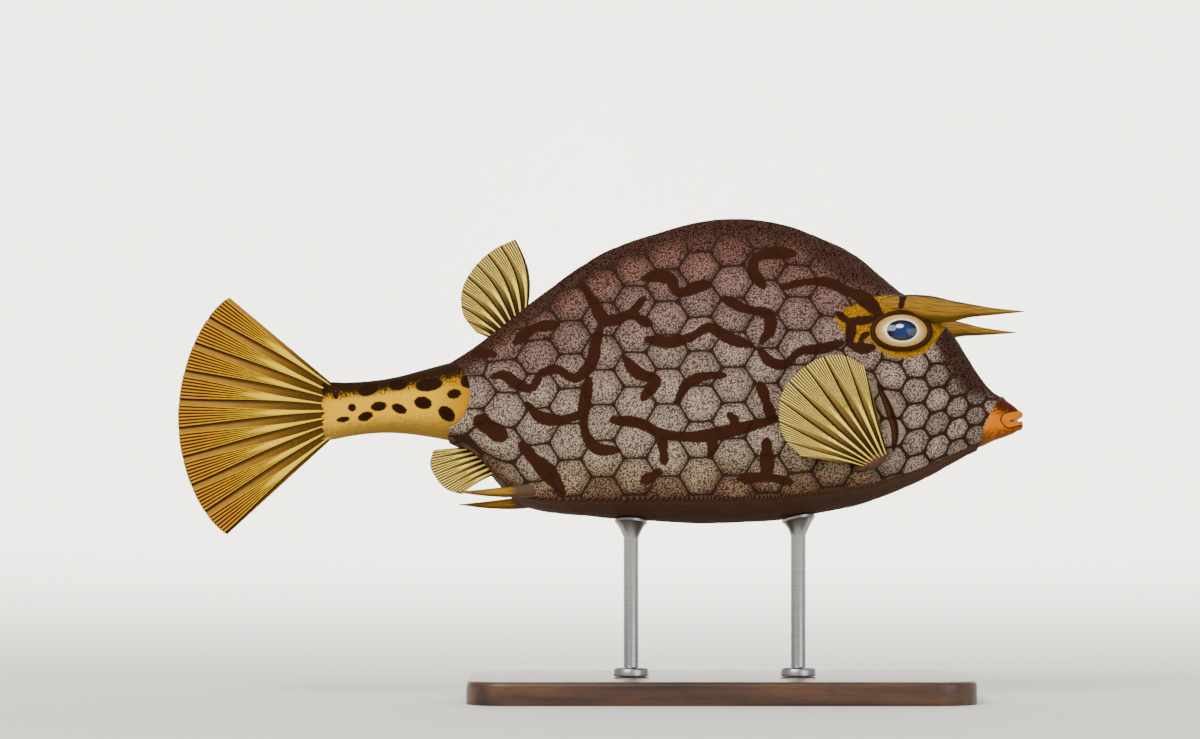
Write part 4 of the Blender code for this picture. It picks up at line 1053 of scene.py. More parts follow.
@dataclass
class Carapace:
    """The whole armour as one skin of raised plates, with sockets, gill openings and nostrils."""

    body: BodyForm
    lattice: PlateLattice
    markings: Markings
    eye: "EyeForm"
    levels: tuple[float, ...] = (0.0, 0.17, 0.33, 0.48, 0.61, 0.72, 0.815, 0.89, 0.95, 1.0)
    rise: float = 0.5
    crown: float = 0.3
    groove: float = 0.22
    rounding: tuple[float, float] = (2.2, 2.0)  # of the plates' corners per mm, on the trunk and on the cheek
    cheek_from: tuple[float, float] = (50.0, 60.0)
    tone_range: float = 0.22  # how much lighter or darker one plate is than the next
    gill_depth: float = 1.5
    gill_half: float = 1.1
    # the plates grow faint between these distances off the dark back
    quiet_back: tuple[float, float] = (-1.0, 7.0)
    least_relief: float = 0.16  # of it, on the ridge and under the belly, where the skin is level
    level: float = 0.72
    rim_reach: float = 5.2  # how much further back the rear rim is at the ridge than at mid height
    rim_from: float = -62.0
    nostril: tuple[float, float] = (76.0, 10.0)
    nostril_half: tuple[float, float] = (0.8, 1.6)
    nostril_depth: float = 1.4
    rim_fold: float = 1.2
    rim_middle: tuple[float, float] = (8.3, 13.0)  # the rear rim's middle height and half height
    ends_from: float = 60.0  # both rims are further than this from the middle
    points: list[Array] = field(default_factory=list)
    triangles: list[Array] = field(default_factory=list)
    fields: dict[str, list[Array]] = field(default_factory=dict)

    def cheek(self, x: Array) -> Array:
        """How much the skin at x is the head's, 0 to 1."""
        return smoothstep(*self.cheek_from, x)

    def plate(self, x: float, share: float, corners: Array, start: int) -> int:
        """Adds one plate.

        Args:
            x: its middle's place along the fish.
            share: its middle's place round it.
            corners: its border's corners as x and share, in order, unwrapped about its middle.
            start: how many points there are already.

        Returns:
            How many points it added.
        """
        middle = np.array([x, share])
        places, faces = [middle], []
        first = start
        for k in range(len(corners)):
            near, far = corners[k - 1] - middle, corners[k] - middle
            rows = []
            for i, level in enumerate(self.levels):
                if i == 0:
                    rows.append([first])
                    continue
                row = []
                for j in range(i + 1):
                    row.append(first + len(places))
                    places.append(middle + level * (near + (far - near) * j / i))
                rows.append(row)
            for above, below in zip(rows, rows[1:]):
                for j in range(len(above)):
                    faces.append((above[j], below[j], below[j + 1]))
                for j in range(len(above) - 1):
                    faces.append((above[j], below[j + 1], above[j + 1]))
        places = np.array(places)
        total = float(self.body.total(x))
        flat = (places - middle) * (1, total)
        border = self.border(flat, (corners - middle) * (1, total), x)
        self.points.append(self.raised(places, border))
        self.triangles.append(np.array(faces))
        q = np.abs((places[:, 1] + 1) % 2 - 1) * self.body.total(places[:, 0])
        edge = self.body.edge(places[:, 0])
        tone = 1 + self.tone_range * math.sin(12.7 * x + 31.0 * share) * float(0.4 + 0.6 * self.cheek(x))
        values = {"border": np.clip(border, -1, 5), "down": q / edge, "under": np.clip(q - edge, -9, 40)}
        values["tone"] = np.full(len(places), tone)
        for name, value in values.items():
            self.fields.setdefault(name, []).append(value)
        return len(places)

    def border(self, places: Array, corners: Array, x: float) -> Array:
        """Distance in mm from each place to the plate's border, its corners rounded."""
        pull = between(self.rounding, float(self.cheek(x)))
        weight = np.zeros(len(places))
        for k in range(len(corners)):
            way = corners[k] - corners[k - 1]
            across = np.array([-way[1], way[0]]) / max(np.linalg.norm(way), 1e-6)
            away = (places - corners[k]) @ across
            weight += np.exp(-pull * away * np.sign(-corners[k] @ across))
        return -np.log(weight) / pull

    def raised(self, places: Array, border: Array) -> Array:
        """The skin's points with plates raised, sockets, gill openings and nostrils sunk."""
        x, share = places.T
        skin, out = self.body.point(x, share), self.body.normal(x, share)
        deep = np.clip(border, 0, None)
        height = self.rise * smoothstep(0.1, 1.25, deep) - self.groove * (1 - smoothstep(0.0, 0.5, deep))
        height = height + self.crown * smoothstep(0.8, 5.5, deep)
        q = np.abs((share + 1) % 2 - 1) * self.body.total(x)
        shown = smoothstep(*self.quiet_back, self.markings.off_back(skin))
        shown = shown * smoothstep(2.0, -1.0, q - self.body.edge(x))
        shown = self.least_relief + (1 - self.least_relief) * shown
        height = self.level + (height - self.level) * shown
        height = height * smoothstep(SNOUT_CUT[0][0] + 2, SNOUT_CUT[0][0] - 8, x)
        round_eye = self.eye.reach(skin)
        height = height * smoothstep(1.25, 1.7, round_eye)
        on_side = q < self.body.edge(x)
        height = height - self.eye.socket_depth * smoothstep(1.02, 0.72, round_eye) * on_side
        gill = curve_through(self.markings.gill, np.linspace(0, 1, CURVE_READS))
        away = distance_to_line(skin[:, (0, 2)], gill) / self.gill_half
        height = height - self.gill_depth * np.exp(-away * away) * on_side
        pit = np.hypot(
            (skin[:, 0] - self.nostril[0]) / self.nostril_half[0],
            (skin[:, 2] - self.nostril[1]) / self.nostril_half[1],
        )
        height = height - self.nostril_depth * smoothstep(1.1, 0.5, pit) * on_side
        return skin + out * height[:, None]

    def build(self) -> bpy.types.Object:
        """Builds the armour.

        Returns:
            The dressed piece.
        """
        rings, count = self.lattice.rings(), 0
        for (i, place, side), corners in sorted(self.lattice.corners(rings).items()):
            if i in (0, len(rings) - 1):
                continue
            x = rings[i][0]
            share = (side or 1) * rings[i][1][place] / float(self.body.total(x))
            flat = np.array(sorted(set(corners)))
            flat[:, 1] = flat[:, 1] / self.body.total(flat[:, 0])
            flat[:, 1] = share + (flat[:, 1] - share + 1) % 2 - 1
            turn = np.arctan2((flat[:, 1] - share) * float(self.body.total(x)), flat[:, 0] - x)
            count += self.plate(x, share, flat[np.argsort(turn)], count)
        points = np.concatenate(self.points)
        piece = mesh_piece("carapace", points, np.concatenate(self.triangles))
        for name, parts in self.fields.items():
            set_field(piece, name, np.concatenate(parts))
        self.close(piece)
        places = fish_points(piece)
        set_field(piece, "cheek", self.cheek(places[:, 0]))
        self.markings.paint(piece, places)
        return finish_piece(piece, ArmourFinish().make(), ("head", "torso"))

    def close(self, piece: bpy.types.Object) -> None:
        """Merges the plates, cuts both ends, curves the rear rim and folds both rims into closed ends."""
        select_only(piece)
        bpy.ops.object.mode_set(mode="EDIT")
        bpy.ops.mesh.select_all(action="SELECT")
        bpy.ops.mesh.remove_doubles(threshold=0.004 * MM)
        ways = []
        for place, facing in (((REAR_RIM_X, 0.0, 0.0), (-1.0, 0.0, 0.0)), SNOUT_CUT):
            spot, tip = (Vector(point) for point in to_stand(np.array([place, np.add(place, facing)])))
            ways.append((tip - spot).normalized())
            bpy.ops.mesh.select_all(action="SELECT")
            bpy.ops.mesh.bisect(
                plane_co=spot, plane_no=ways[-1], use_fill=False, clear_outer=True, clear_inner=False
            )
        bpy.ops.object.mode_set(mode="OBJECT")
        self.curve_rear(piece)
        bpy.ops.object.mode_set(mode="EDIT")
        for end, way in zip((-1, 1), ways):
            select_edges(
                piece,
                lambda edge: edge.is_boundary and min(
                    end * vert.co.x for vert in edge.verts
                ) > self.ends_from * MM,
            )
            for size, back in ((0.955, 0.0), (0.9, self.rim_fold)):
                bpy.ops.mesh.extrude_region_move(TRANSFORM_OT_translate={"value": way * -back * MM})
                bpy.ops.transform.resize(value=(size, size, size))
            bpy.ops.mesh.edge_face_add()
            bpy.ops.mesh.quads_convert_to_tris()
        bpy.ops.mesh.select_all(action="SELECT")
        bpy.ops.mesh.normals_make_consistent(inside=False)
        bpy.ops.object.mode_set(mode="OBJECT")

    def curve_rear(self, piece: bpy.types.Object) -> None:
        """Draws the rear rim back along the skin, most at the ridge and at the belly."""
        places = fish_points(piece)
        x, y, z = places.T
        level = np.clip((z - self.rim_middle[0]) / self.rim_middle[1], -1.2, 1.2)
        moved = x - self.rim_reach * level**2 * smoothstep(self.rim_from, REAR_RIM_X, x)
        top, low = (self.body.point(x, np.full(len(x), share))[:, 2] for share in (0.0, 1.0))
        new_top, new_low = (self.body.point(moved, np.full(len(x), share))[:, 2] for share in (0.0, 1.0))
        height = new_low + (z - low) * (new_top - new_low) / (top - low)
        width = y * self.body.total(moved) / self.body.total(x)
        piece.data.vertices.foreach_set("co", to_stand(np.column_stack([moved, width, height])).ravel())
        piece.data.update()


@dataclass(frozen=True)
class HornFinish:
    """Ochre horn: keratin skin over bone, finely streaked along its length, with painted shade along its
    underside, darker along its top, and dark skin where the armour's skin comes up over its root.
    """

    ochre: str = "#6C4C1A"
    pale: str = "#966C20"
    shadow: str = "#3E280C"
    dark: str = "#261402"
    skin: str = "#261402"  # where the armour's skin comes up over it
    streak_mm: float = 0.7
    roughness: float = 0.5
    keratin_ior: float = 1.54

    def make(self, name: str) -> bpy.types.Material:
        """The spikes' material, reading the fields that Spike stores."""
        paint = Paint(name, PAINTED)
        read = {
            key: paint.add("Attribute", out="Fac", attribute_name=key)
            for key in ("around", "along", "topside", "bare")
        }
        path = paint.add("CombineXYZ", {"X": read["around"], "Y": read["along"], "Z": 0.0}, "Vector")
        drawn = paint.add("VectorMath", {0: path, 1: (1 / self.streak_mm, 0.12, 1.0)}, operation="MULTIPLY")
        streaks = paint.add("TexNoise", {"Vector": drawn, "Scale": 1.0, "Detail": 3.0}, "Fac")
        tone = paint.add("MapRange", {"Value": streaks, "From Min": 0.42, "From Max": 0.62})
        edge = paint.add("Math", {0: streaks, 1: 0.35, 2: read["topside"]}, operation="MULTIPLY_ADD")
        top = paint.add("MapRange", {"Value": edge, "From Min": 0.84, "From Max": 1.04}, **SOFT)
        # painted shade along the spike's underside
        under = paint.add("MapRange", {"Value": edge, "From Min": -0.2, "From Max": -0.6}, **SOFT)
        low = paint.add("Math", {0: under, 1: 0.7}, operation="MULTIPLY")
        skin = paint.add("MapRange", {"Value": read["bare"], "From Min": 0.25, "From Max": -0.25}, **SOFT)
        colour = paint.coats(
            self.pale, [(tone, self.ochre), (low, self.shadow), (top, self.dark), (skin, self.skin)]
        )
        return paint.done(
            {"Base Color": colour, "Roughness": self.roughness, "IOR": self.keratin_ior}, streaks, 0.5, 0.2
        )


@dataclass(frozen=True)
class Spike:
    """A curved, tapered spike drawn out along stops of x, half spacing, height and radius."""

    stops: Stops
    rings: int
    sides: int = 40
    flare: float = 1.0  # how much taller than wide the root is
    root_x: float | None = None  # from here forwards its skin darkens into the armour's
    root_fade: float = 6.0
    bare_from: float = -200.0  # further forward than this x it is ochre all over
    ripple: float = 0.02
    ripples: int = 9

    def shape(self, side: Side) -> tuple[Array, dict[str, Array]]:
        """The spike's points on one flank, ring after ring, and the fields that its finish reads."""
        shares = np.linspace(0, 1, self.rings)
        reads = curve_through([(x, side.value * y, z, r) for x, y, z, r in self.stops], shares)
        line, radii = reads[:, :3], np.maximum(reads[:, 3], 0.12)
        tangent = unit(np.gradient(line, axis=0))
        across = unit(np.cross(tangent, (0.0, 0.0, 1.0)))
        up = np.cross(across, tangent)
        turns = full_turn(self.sides)
        ripple = 1 + self.ripple * np.cos(self.ripples * turns)[None, :] * (1 - shares)[:, None]
        tall = 1 + (self.flare - 1) * (1 - shares)[:, None]
        reach = radii[:, None] * ripple
        points = (
            line[:, None]
            + across[:, None] * (reach * np.cos(turns))[..., None]
            + up[:, None] * (reach * tall * np.sin(turns))[..., None]
        )
        length = arc_lengths(line)
        # turned away from where it could be seen, the streaks meet
        turned = np.abs((turns + math.pi) % (2 * math.pi) - math.pi)
        fields = {
            "around": (radii[:, None] * turned[None, :]).ravel(),
            "along": np.repeat(length, self.sides),
            "topside": np.tile(np.sin(turns), self.rings),
        }
        return points.reshape(-1, 3), fields

    def build(
        self,
        name: str,
        side: Side,
        finish: bpy.types.Material,
        markings: Markings,
        nodes: Sequence[str],
    ) -> bpy.types.Object:
        """Builds one spike, closed at both ends.

        Args:
            name: the piece's name.
            side: the flank it stands on.
            finish: its material.
            markings: the pattern whose dark branches cross its root.
            nodes: the CAD nodes it stands for.

        Returns:
            The dressed piece.
        """
        points, fields = self.shape(side)
        piece = mesh_piece(name, points, wrapped_faces(self.rings, self.sides))
        places = markings.side_view(points * (1, -1 if side is Side.LEFT else 1, 1))
        branch = markings.nearest(places, markings.branches)
        off_patch = -inside_outline(places, np.array(markings.patch))
        plain = np.where(points[:, 0] > self.bare_from, 4.0, np.minimum(branch, off_patch))
        if self.root_x is not None:
            plain = (self.root_x - points[:, 0]) / self.root_fade
        for key, values in {**fields, "bare": plain}.items():
            set_field(piece, key, values)
        close_ends(piece)
        return finish_piece(piece, finish, nodes)


def close_ends(piece: bpy.types.Object) -> None:
    """Rounds off and fills a tube's open ends, and turns its faces outwards."""
    select_only(piece)
    bpy.ops.object.mode_set(mode="EDIT")
    select_edges(piece, lambda edge: edge.is_boundary)
    bpy.ops.mesh.edge_face_add()
    bpy.ops.mesh.select_all(action="SELECT")
    bpy.ops.mesh.normals_make_consistent(inside=False)
    bpy.ops.object.mode_set(mode="OBJECT")


@dataclass(frozen=True)
class FinFinish:
    """A fin: thin, satin membrane stretched between bony rays that split towards the margin."""

    name: str
    ray: str
    tip: str  # the rays' colour at the margin
    web: str
    shade: str
    line: str
    roughness: float = 0.46
    skin_ior: float = 1.4

    def make(self) -> bpy.types.Material:
        """The fin's material, reading the fields that RayedFin stores."""
        paint = Paint(self.name, PAINTED)
        read = {
            key: paint.add("Attribute", out="Fac", attribute_name=key)
            for key in ("crest", "shade", "along", "seam")
        }
        place = paint.add("Attribute", out="Vector", attribute_name="fish")
        noise = paint.add("TexNoise", {"Vector": place, "Scale": 0.22, "Detail": 4.0}, "Fac")
        fleck = paint.add("TexNoise", {"Vector": place, "Scale": 1.7, "Detail": 3.0}, "Fac")
        crest = paint.add("MapRange", {"Value": read["crest"], "From Min": 0.12, "From Max": 0.4}, **SOFT)
        # painted shade in the webs, flecked
        dark = paint.add("Math", {0: fleck, 1: 0.3, 2: read["shade"]}, operation="MULTIPLY_ADD")
        dark = paint.add("MapRange", {"Value": dark, "From Min": 0.15, "From Max": 0.9})
        outer = paint.add("MapRange", {"Value": read["along"], "From Min": 0.3, "From Max": 0.9}, **SOFT)
        cloud = paint.add("MapRange", {"Value": noise, "From Min": 0.4, "From Max": 0.8, "To Max": 0.3})
        ray = paint.coats(self.ray, [(outer, self.tip)])
        colour = paint.coats(
            self.web, [(cloud, self.shade), (dark, self.shade), (crest, ray), (read["seam"], self.line)]
        )
        return paint.done(
            {"Base Color": colour, "Roughness": self.roughness, "IOR": self.skin_ior}, fleck, 0.3, 0.08
        )


@dataclass(frozen=True)
class RayedFin:
    """A fin as a dense sheet whose rays rise on both faces and split again and again towards the margin."""

    name: str
    sheet: Sheet  # the membrane's middle, at shares along the rays and across them
    rays: int
    rows: int = 70
    columns_a_ray: int = 32
    membrane_half: float = 0.16
    ray_half: tuple[float, float] = (0.85, 0.3)
    # at the root and fanned out, of the ray's share of the fin
    ray_half_width: tuple[float, float] = (0.13, 0.42)
    fanned: tuple[float, float] = (0.05, 1.0)  # where along the rays they begin to fan out, and have in full
    shade_side: float = 1.0
    shade_reach: float = 0.8  # of the web, from its dark side
    branches: int = 7
    # where the branches start in the middle of a ray and at its sides
    branch_from: tuple[float, float] = (0.5, 0.3)
    edge_wave: float = 0.004

    def field_values(self, along: Array, across: Array) -> dict[str, Array]:
        """What stands where on the fin.

        Args:
            along: shares along the rays.
            across: shares across the fin.

        Returns:
            crest, 1 on a ray's or branch's crest; shade, 1 where painted shade darkens the web beside a ray
            and near the root; and seam, 1 on the thin dark lines between branches and on the painted shadow
            line along each ray's shaded edge.
        """
        cell = across * self.rays
        number = np.floor(cell)
        offset = (cell - number - 0.5) * self.shade_side
        sway = 0.05 * np.sin(2.4 * number + 0.7)
        narrow, wide = self.ray_half_width
        fanned = smoothstep(*self.fanned, along + sway * along)
        half = narrow * (1 + 0.2 * np.sin(1.9 * number)) * (1 - fanned) + wide * fanned
        within = offset / half
        inside = 1 - smoothstep(0.9, 1.0, np.abs(within))
        # the web, from the ray that shades it to the next one
        into_web = np.where(offset > 0, offset, offset + 1) - half
        web = np.clip(1 - 2 * half, 0.02, 1)
        # painted shade: the web darkest next to the ray that shades it, and all of it darker near the root
        near_root = 0.75 * (1 - smoothstep(0.1, self.shade_reach, along))
        shade = np.maximum(1 - smoothstep(0.0, self.shade_reach, into_web / web), near_root) * (1 - inside)
        # a painted shadow line along the ray's shaded edge
        outline = smoothstep(-0.03, 0.0, into_web) * (1 - smoothstep(0.02, 0.06, into_web))
        # the branches fan out from the ray, a light crest and a dark line each
        stripe = 0.5 + 0.5 * np.cos(math.pi * self.branches * within)
        middle, sides = self.branch_from
        start = middle + (sides - middle) * np.clip(np.abs(within), 0, 1) + sway
        shown = smoothstep(start, start + 0.12, along)
        whole = 0.35 + 0.65 * np.clip(1 - within * within, 0, 1)
        crest = inside * (whole * (1 - shown) + 0.9 * smoothstep(0.15, 0.6, stripe) * shown)
        seam = np.maximum(inside * shown * smoothstep(0.6, 0.28, stripe), outline)
        return {"crest": crest, "shade": shade, "seam": seam, "along": along}

    def build(self, finish: bpy.types.Material, slot: str, nodes: Sequence[str]) -> bpy.types.Object:
        """Builds the fin: a grid bent to the sheet, then thickened by how high each place stands.

        Args:
            finish: its material.
            slot: not used.
            nodes: the CAD nodes it stands for.

        Returns:
            The dressed piece.
        """
        columns = self.rays * self.columns_a_ray + 1
        along, across = np.meshgrid(np.linspace(0, 1, self.rows), np.linspace(0, 1, columns), indexing="ij")
        values = self.field_values(along, across)
        # each branch ends in a tiny scallop of the margin
        reach = along * (1 + self.edge_wave * (values["crest"] - 0.5) * smoothstep(0.9, 1.0, along))
        middle = self.sheet(reach.ravel(), across.ravel()).reshape(self.rows, columns, 3)
        ways = unit(np.cross(np.gradient(middle, axis=0), np.gradient(middle, axis=1)))
        high = between(self.ray_half, along)
        half = self.membrane_half + (high - self.membrane_half) * values["crest"]
        faces = grid_faces(self.rows, columns)
        count = self.rows * columns
        thick = ways * half[..., None]
        shell = np.concatenate([(middle + thick).reshape(-1, 3), (middle - thick).reshape(-1, 3)])
        rim = rim_loop(self.rows, columns)
        after = np.roll(rim, -1)
        sides = np.stack([rim, after, after + count, rim + count], 1)
        piece = mesh_piece(self.name, shell, np.concatenate([faces, faces[:, ::-1] + count, sides]))
        for key, value in values.items():
            set_field(piece, key, np.tile(value.ravel(), 2))
        set_field(piece, "fish", shell)
        face_outwards(piece, 0.0005)
        return finish_piece(piece, finish, nodes)


def grid_faces(rows: int, columns: int) -> Array:
    """Four-sided faces of a grid, as point numbers."""
    i, j = np.meshgrid(np.arange(rows - 1), np.arange(columns - 1), indexing="ij")
    a = (i * columns + j).ravel()
    return np.stack([a, a + 1, a + columns + 1, a + columns], 1)


def rim_loop(rows: int, columns: int) -> Array:
    """The points round a grid's edge, in order."""
    top = np.arange(columns)
    right = np.arange(1, rows) * columns + columns - 1
    bottom = (rows - 1) * columns + np.arange(columns - 2, -1, -1)
    left = np.arange(rows - 2, 0, -1) * columns
    return np.concatenate([top, right, bottom, left])


@dataclass(frozen=True)
class FinSheets:
    """Where each fin's membrane lies, between its root and its margin."""

    body: BodyForm
    lift: float = -0.8  # of the root above the skin, over the plates
    tail_middle: tuple[float, float] = (-118.7, 1.9)
    tail_radius: float = 64.1
    tail_half: float = math.radians(40.6)
    tail_corner_cut: float = 0.03
    tail_root: tuple[float, float, float] = (-131.2, 3.4, 9.7)
    tail_wave: float = 1.5
    dorsal_root: Stops = ((-65.4, 37.6), (-71.5, 33.2), (-77.8, 28.6))
    dorsal_margin: Stops = (
        (-69.2, 62.4), (-76.6, 58.9), (-83.6, 51.9), (-87.3, 44), (-86.8, 36.5), (-82.2, 30.4),
    )
    anal_root: Stops = ((-75.6, -17.4), (-80.4, -13.2), (-84.2, -9.8))
    anal_margin: Stops = ((-87.2, -25), (-92, -23.4), (-95.6, -19.6), (-97.8, -14.6), (-96.6, -9.9))
    pectoral_root: Stops = ((54, -13.6), (50, -16.4), (45.2, -18.8))
    pectoral_margin: Stops = (
        (47.6, 13.4),
        (40.1, 17.1),
        (32, 15.8),
        (25.6, 11.4),
        (20.2, 4.6),
        (18.9, -2.4),
        (20.8, -11),
        (26.5, -17),
    )
    pectoral_spread: float = 33.5
    pectoral_bow: float = 1.6
    pad_off: float = 3.15

    def tail(self, along: Array, across: Array) -> Array:
        """The tail fin, a fan with a slight wave."""
        turn = math.pi - self.tail_half + 2 * self.tail_half * across
        radius = self.tail_radius * (1 - self.tail_corner_cut * (2 * across - 1) ** 8)
        x = self.tail_middle[0] + radius * np.cos(turn)
        z = self.tail_middle[1] + radius * np.sin(turn)
        root_x, root_z, root_half = self.tail_root
        start = root_z + root_half * (1 - 2 * across)
        wave = self.tail_wave * along**2 * np.sin(2 * math.pi * across)
        return np.stack([root_x + (x - root_x) * along, wave, start + (z - start) * along], 1)

    def upright(self, root: Stops, margin: Stops, belly: bool, bow: float, sway: float) -> Sheet:
        """A sheet on the midline.

        Args:
            root: x and height of its root, front ray first.
            margin: x and height of its margin.
            belly: whether it stands on the belly's midline.
            bow: how far the rays bow forward, in mm.
            sway: how far the margin bends sideways, in mm.

        Returns:
            The sheet.
        """
        xs = np.array([x for x, _ in root])
        share = np.full(len(xs), 1.0 if belly else 0.0)
        seat = self.body.point(xs, share) + self.body.normal(xs, share) * self.lift
        line = seat[:, (0, 2)]

        def sheet(along: Array, across: Array) -> Array:
            """The sheet's points."""
            start, end = curve_through(line, across), curve_through(margin, across)
            flat = start + (end - start) * along[:, None]
            reach = np.stack([end[:, 1] - start[:, 1], start[:, 0] - end[:, 0]], 1)
            reach /= np.linalg.norm(end - start, axis=1, keepdims=True)
            flat = flat + reach * (bow * np.sin(math.pi * along) * (1 - across))[:, None]
            wave = sway * along**2 * np.sin(2.2 * math.pi * across + 0.4)
            return np.stack([flat[:, 0], wave, flat[:, 1]], 1)

        return sheet

    def pectoral(self, side: Side) -> Sheet:
        """A sheet that stands off the flank."""
        reads = curve_through(self.pectoral_root, np.linspace(0, 1, CURVE_READS))
        root = self.body.off_flank(reads[:, 0], reads[:, 1], side, self.pad_off)

        def sheet(along: Array, across: Array) -> Array:
            """The sheet's points."""
            start, margin = curve_through(root, across), curve_through(self.pectoral_margin, across)
            end = np.stack(
                [margin[:, 0], np.full(len(across), side.value * self.pectoral_spread), margin[:, 1]], 1
            )
            points = start + (end - start) * along[:, None]
            points[:, 1] += side.value * self.pectoral_bow * np.sin(math.pi * along)
            return points

        return sheet


@dataclass(frozen=True)
class PadFinish:
    """The pectoral fin's fleshy root: moist brown skin, with a painted pinkish highlight on its outer face
    and painted shade along its sides and foot.
    """

    skin: str = "#3C281A"
    # stretched: the painted pinkish highlight; hollow: the painted shade along the sides and foot
    stretched: str = "#6C4C3A"
    hollow: str = "#271200"

    def make(self) -> bpy.types.Material:
        """The pad's material, mottled along its folds."""
        paint = Paint("Moist_fin_root_skin", PAINTED)
        place = paint.add("Attribute", out="Vector", attribute_name="fish")
        crease = paint.add("TexNoise", {"Vector": place, "Scale": 0.8, "Detail": 4.0}, "Fac")
        proud = paint.add("Attribute", out="Fac", attribute_name="proud")
        # painted highlight on the outer face, broken up by the creases, and painted shade where the pad turns
        # away
        pink = paint.add("Math", {0: proud, 1: crease}, operation="MULTIPLY")
        dark = paint.add("MapRange", {"Value": proud, "From Min": 0.35, "From Max": 0.0})
        colour = paint.coats(self.skin, [(pink, self.stretched), (dark, self.hollow)])
        return paint.done({"Base Color": colour, "Roughness": 0.42}, crease, 0.6, 0.3)


@dataclass(frozen=True)
class PectoralPad:
    """The fleshy root that carries the pectoral fin, its foot sunk in the armour."""

    body: BodyForm
    sheets: FinSheets
    radius: float = 2.7
    rings: int = 48
    sides: int = 32
    overhang: float = 0.2

    def build(self, side: Side, finish: bpy.types.Material) -> bpy.types.Object:
        """Builds one pad.

        Args:
            side: the flank it stands on.
            finish: its material.

        Returns:
            The dressed piece.
        """
        shares = np.linspace(-self.overhang, 1 + self.overhang, self.rings)
        root = np.array(self.sheets.pectoral_root)
        ends = np.clip(shares, 0, 1)
        reads = curve_through(root, ends)
        reads += (shares - ends)[:, None] * (root[-1] - root[0])
        skin = self.body.off_flank(reads[:, 0], reads[:, 1], side, 0.0)
        out = self.body.off_flank(reads[:, 0], reads[:, 1], side, 1.0) - skin
        taper = np.sqrt(np.clip(1 - ((shares - 0.5) / (0.5 + self.overhang)) ** 2, 0.002, 1))
        along = unit(np.gradient(skin, axis=0))
        across = np.cross(along, out)
        turns = full_turn(self.sides)
        reach = self.radius * taper[:, None]
        height = self.sheets.pad_off * taper[:, None]
        points = (
            skin[:, None]
            + across[:, None] * (reach * np.cos(turns))[..., None]
            + out[:, None] * (height * 0.45 + (height * 0.55 + 0.9) * np.sin(turns))[..., None]
        )
        piece = mesh_piece(
            f"pectoral_root_{side.label}", points.reshape(-1, 3), wrapped_faces(self.rings, self.sides)
        )
        set_field(piece, "fish", points.reshape(-1, 3))
        # how far each point faces outwards, where the painted highlight goes
        set_field(piece, "proud", np.tile(np.clip(np.sin(turns), 0, 1), self.rings))
        close_ends(piece)
        return finish_piece(piece, finish)


@dataclass(frozen=True)
class StalkFinish:
    """The tail stalk's bare skin: smooth, moist, yellow, with brown spots and a dark back."""

    yellow: str = "#DEA412"
    orange: str = "#A8720A"
    spot: str = "#220F00"
    dark: str = "#281604"
    low: str = "#8C6A27"

    def make(self) -> bpy.types.Material:
        """The stalk's material, reading the fields that TailStalk stores."""
        paint = Paint("Moist_spotted_stalk_skin", PAINTED)
        read = {
            key: paint.add("Attribute", out="Fac", attribute_name=key)
            for key in ("spot", "height", "near_rim")
        }
        place = paint.add("Attribute", out="Vector", attribute_name="fish")
        fleck = paint.add("TexNoise", {"Vector": place, "Scale": 1.6, "Detail": 3.0}, "Fac")
        shaken = paint.add("Math", {0: fleck, 1: 0.7, 2: read["height"]}, operation="MULTIPLY_ADD")
        top = paint.add("MapRange", {"Value": shaken, "From Min": 0.6, "From Max": 0.96}, **SOFT)
        bottom = paint.add("MapRange", {"Value": shaken, "From Min": 0.0, "From Max": -0.5}, **SOFT)
        edge = paint.add("Math", {0: fleck, 1: 0.8, 2: read["spot"]}, operation="MULTIPLY_ADD")
        spot = paint.add("MapRange", {"Value": edge, "From Min": 0.65, "From Max": 0.25}, **SOFT)
        colour = paint.coats(self.yellow,
            [(read["near_rim"], self.orange), (bottom, self.low), (top, self.dark), (spot, self.spot)],
        )
        return paint.done({"Base Color": colour, "Roughness": 0.58}, fleck, 0.35, 0.1)


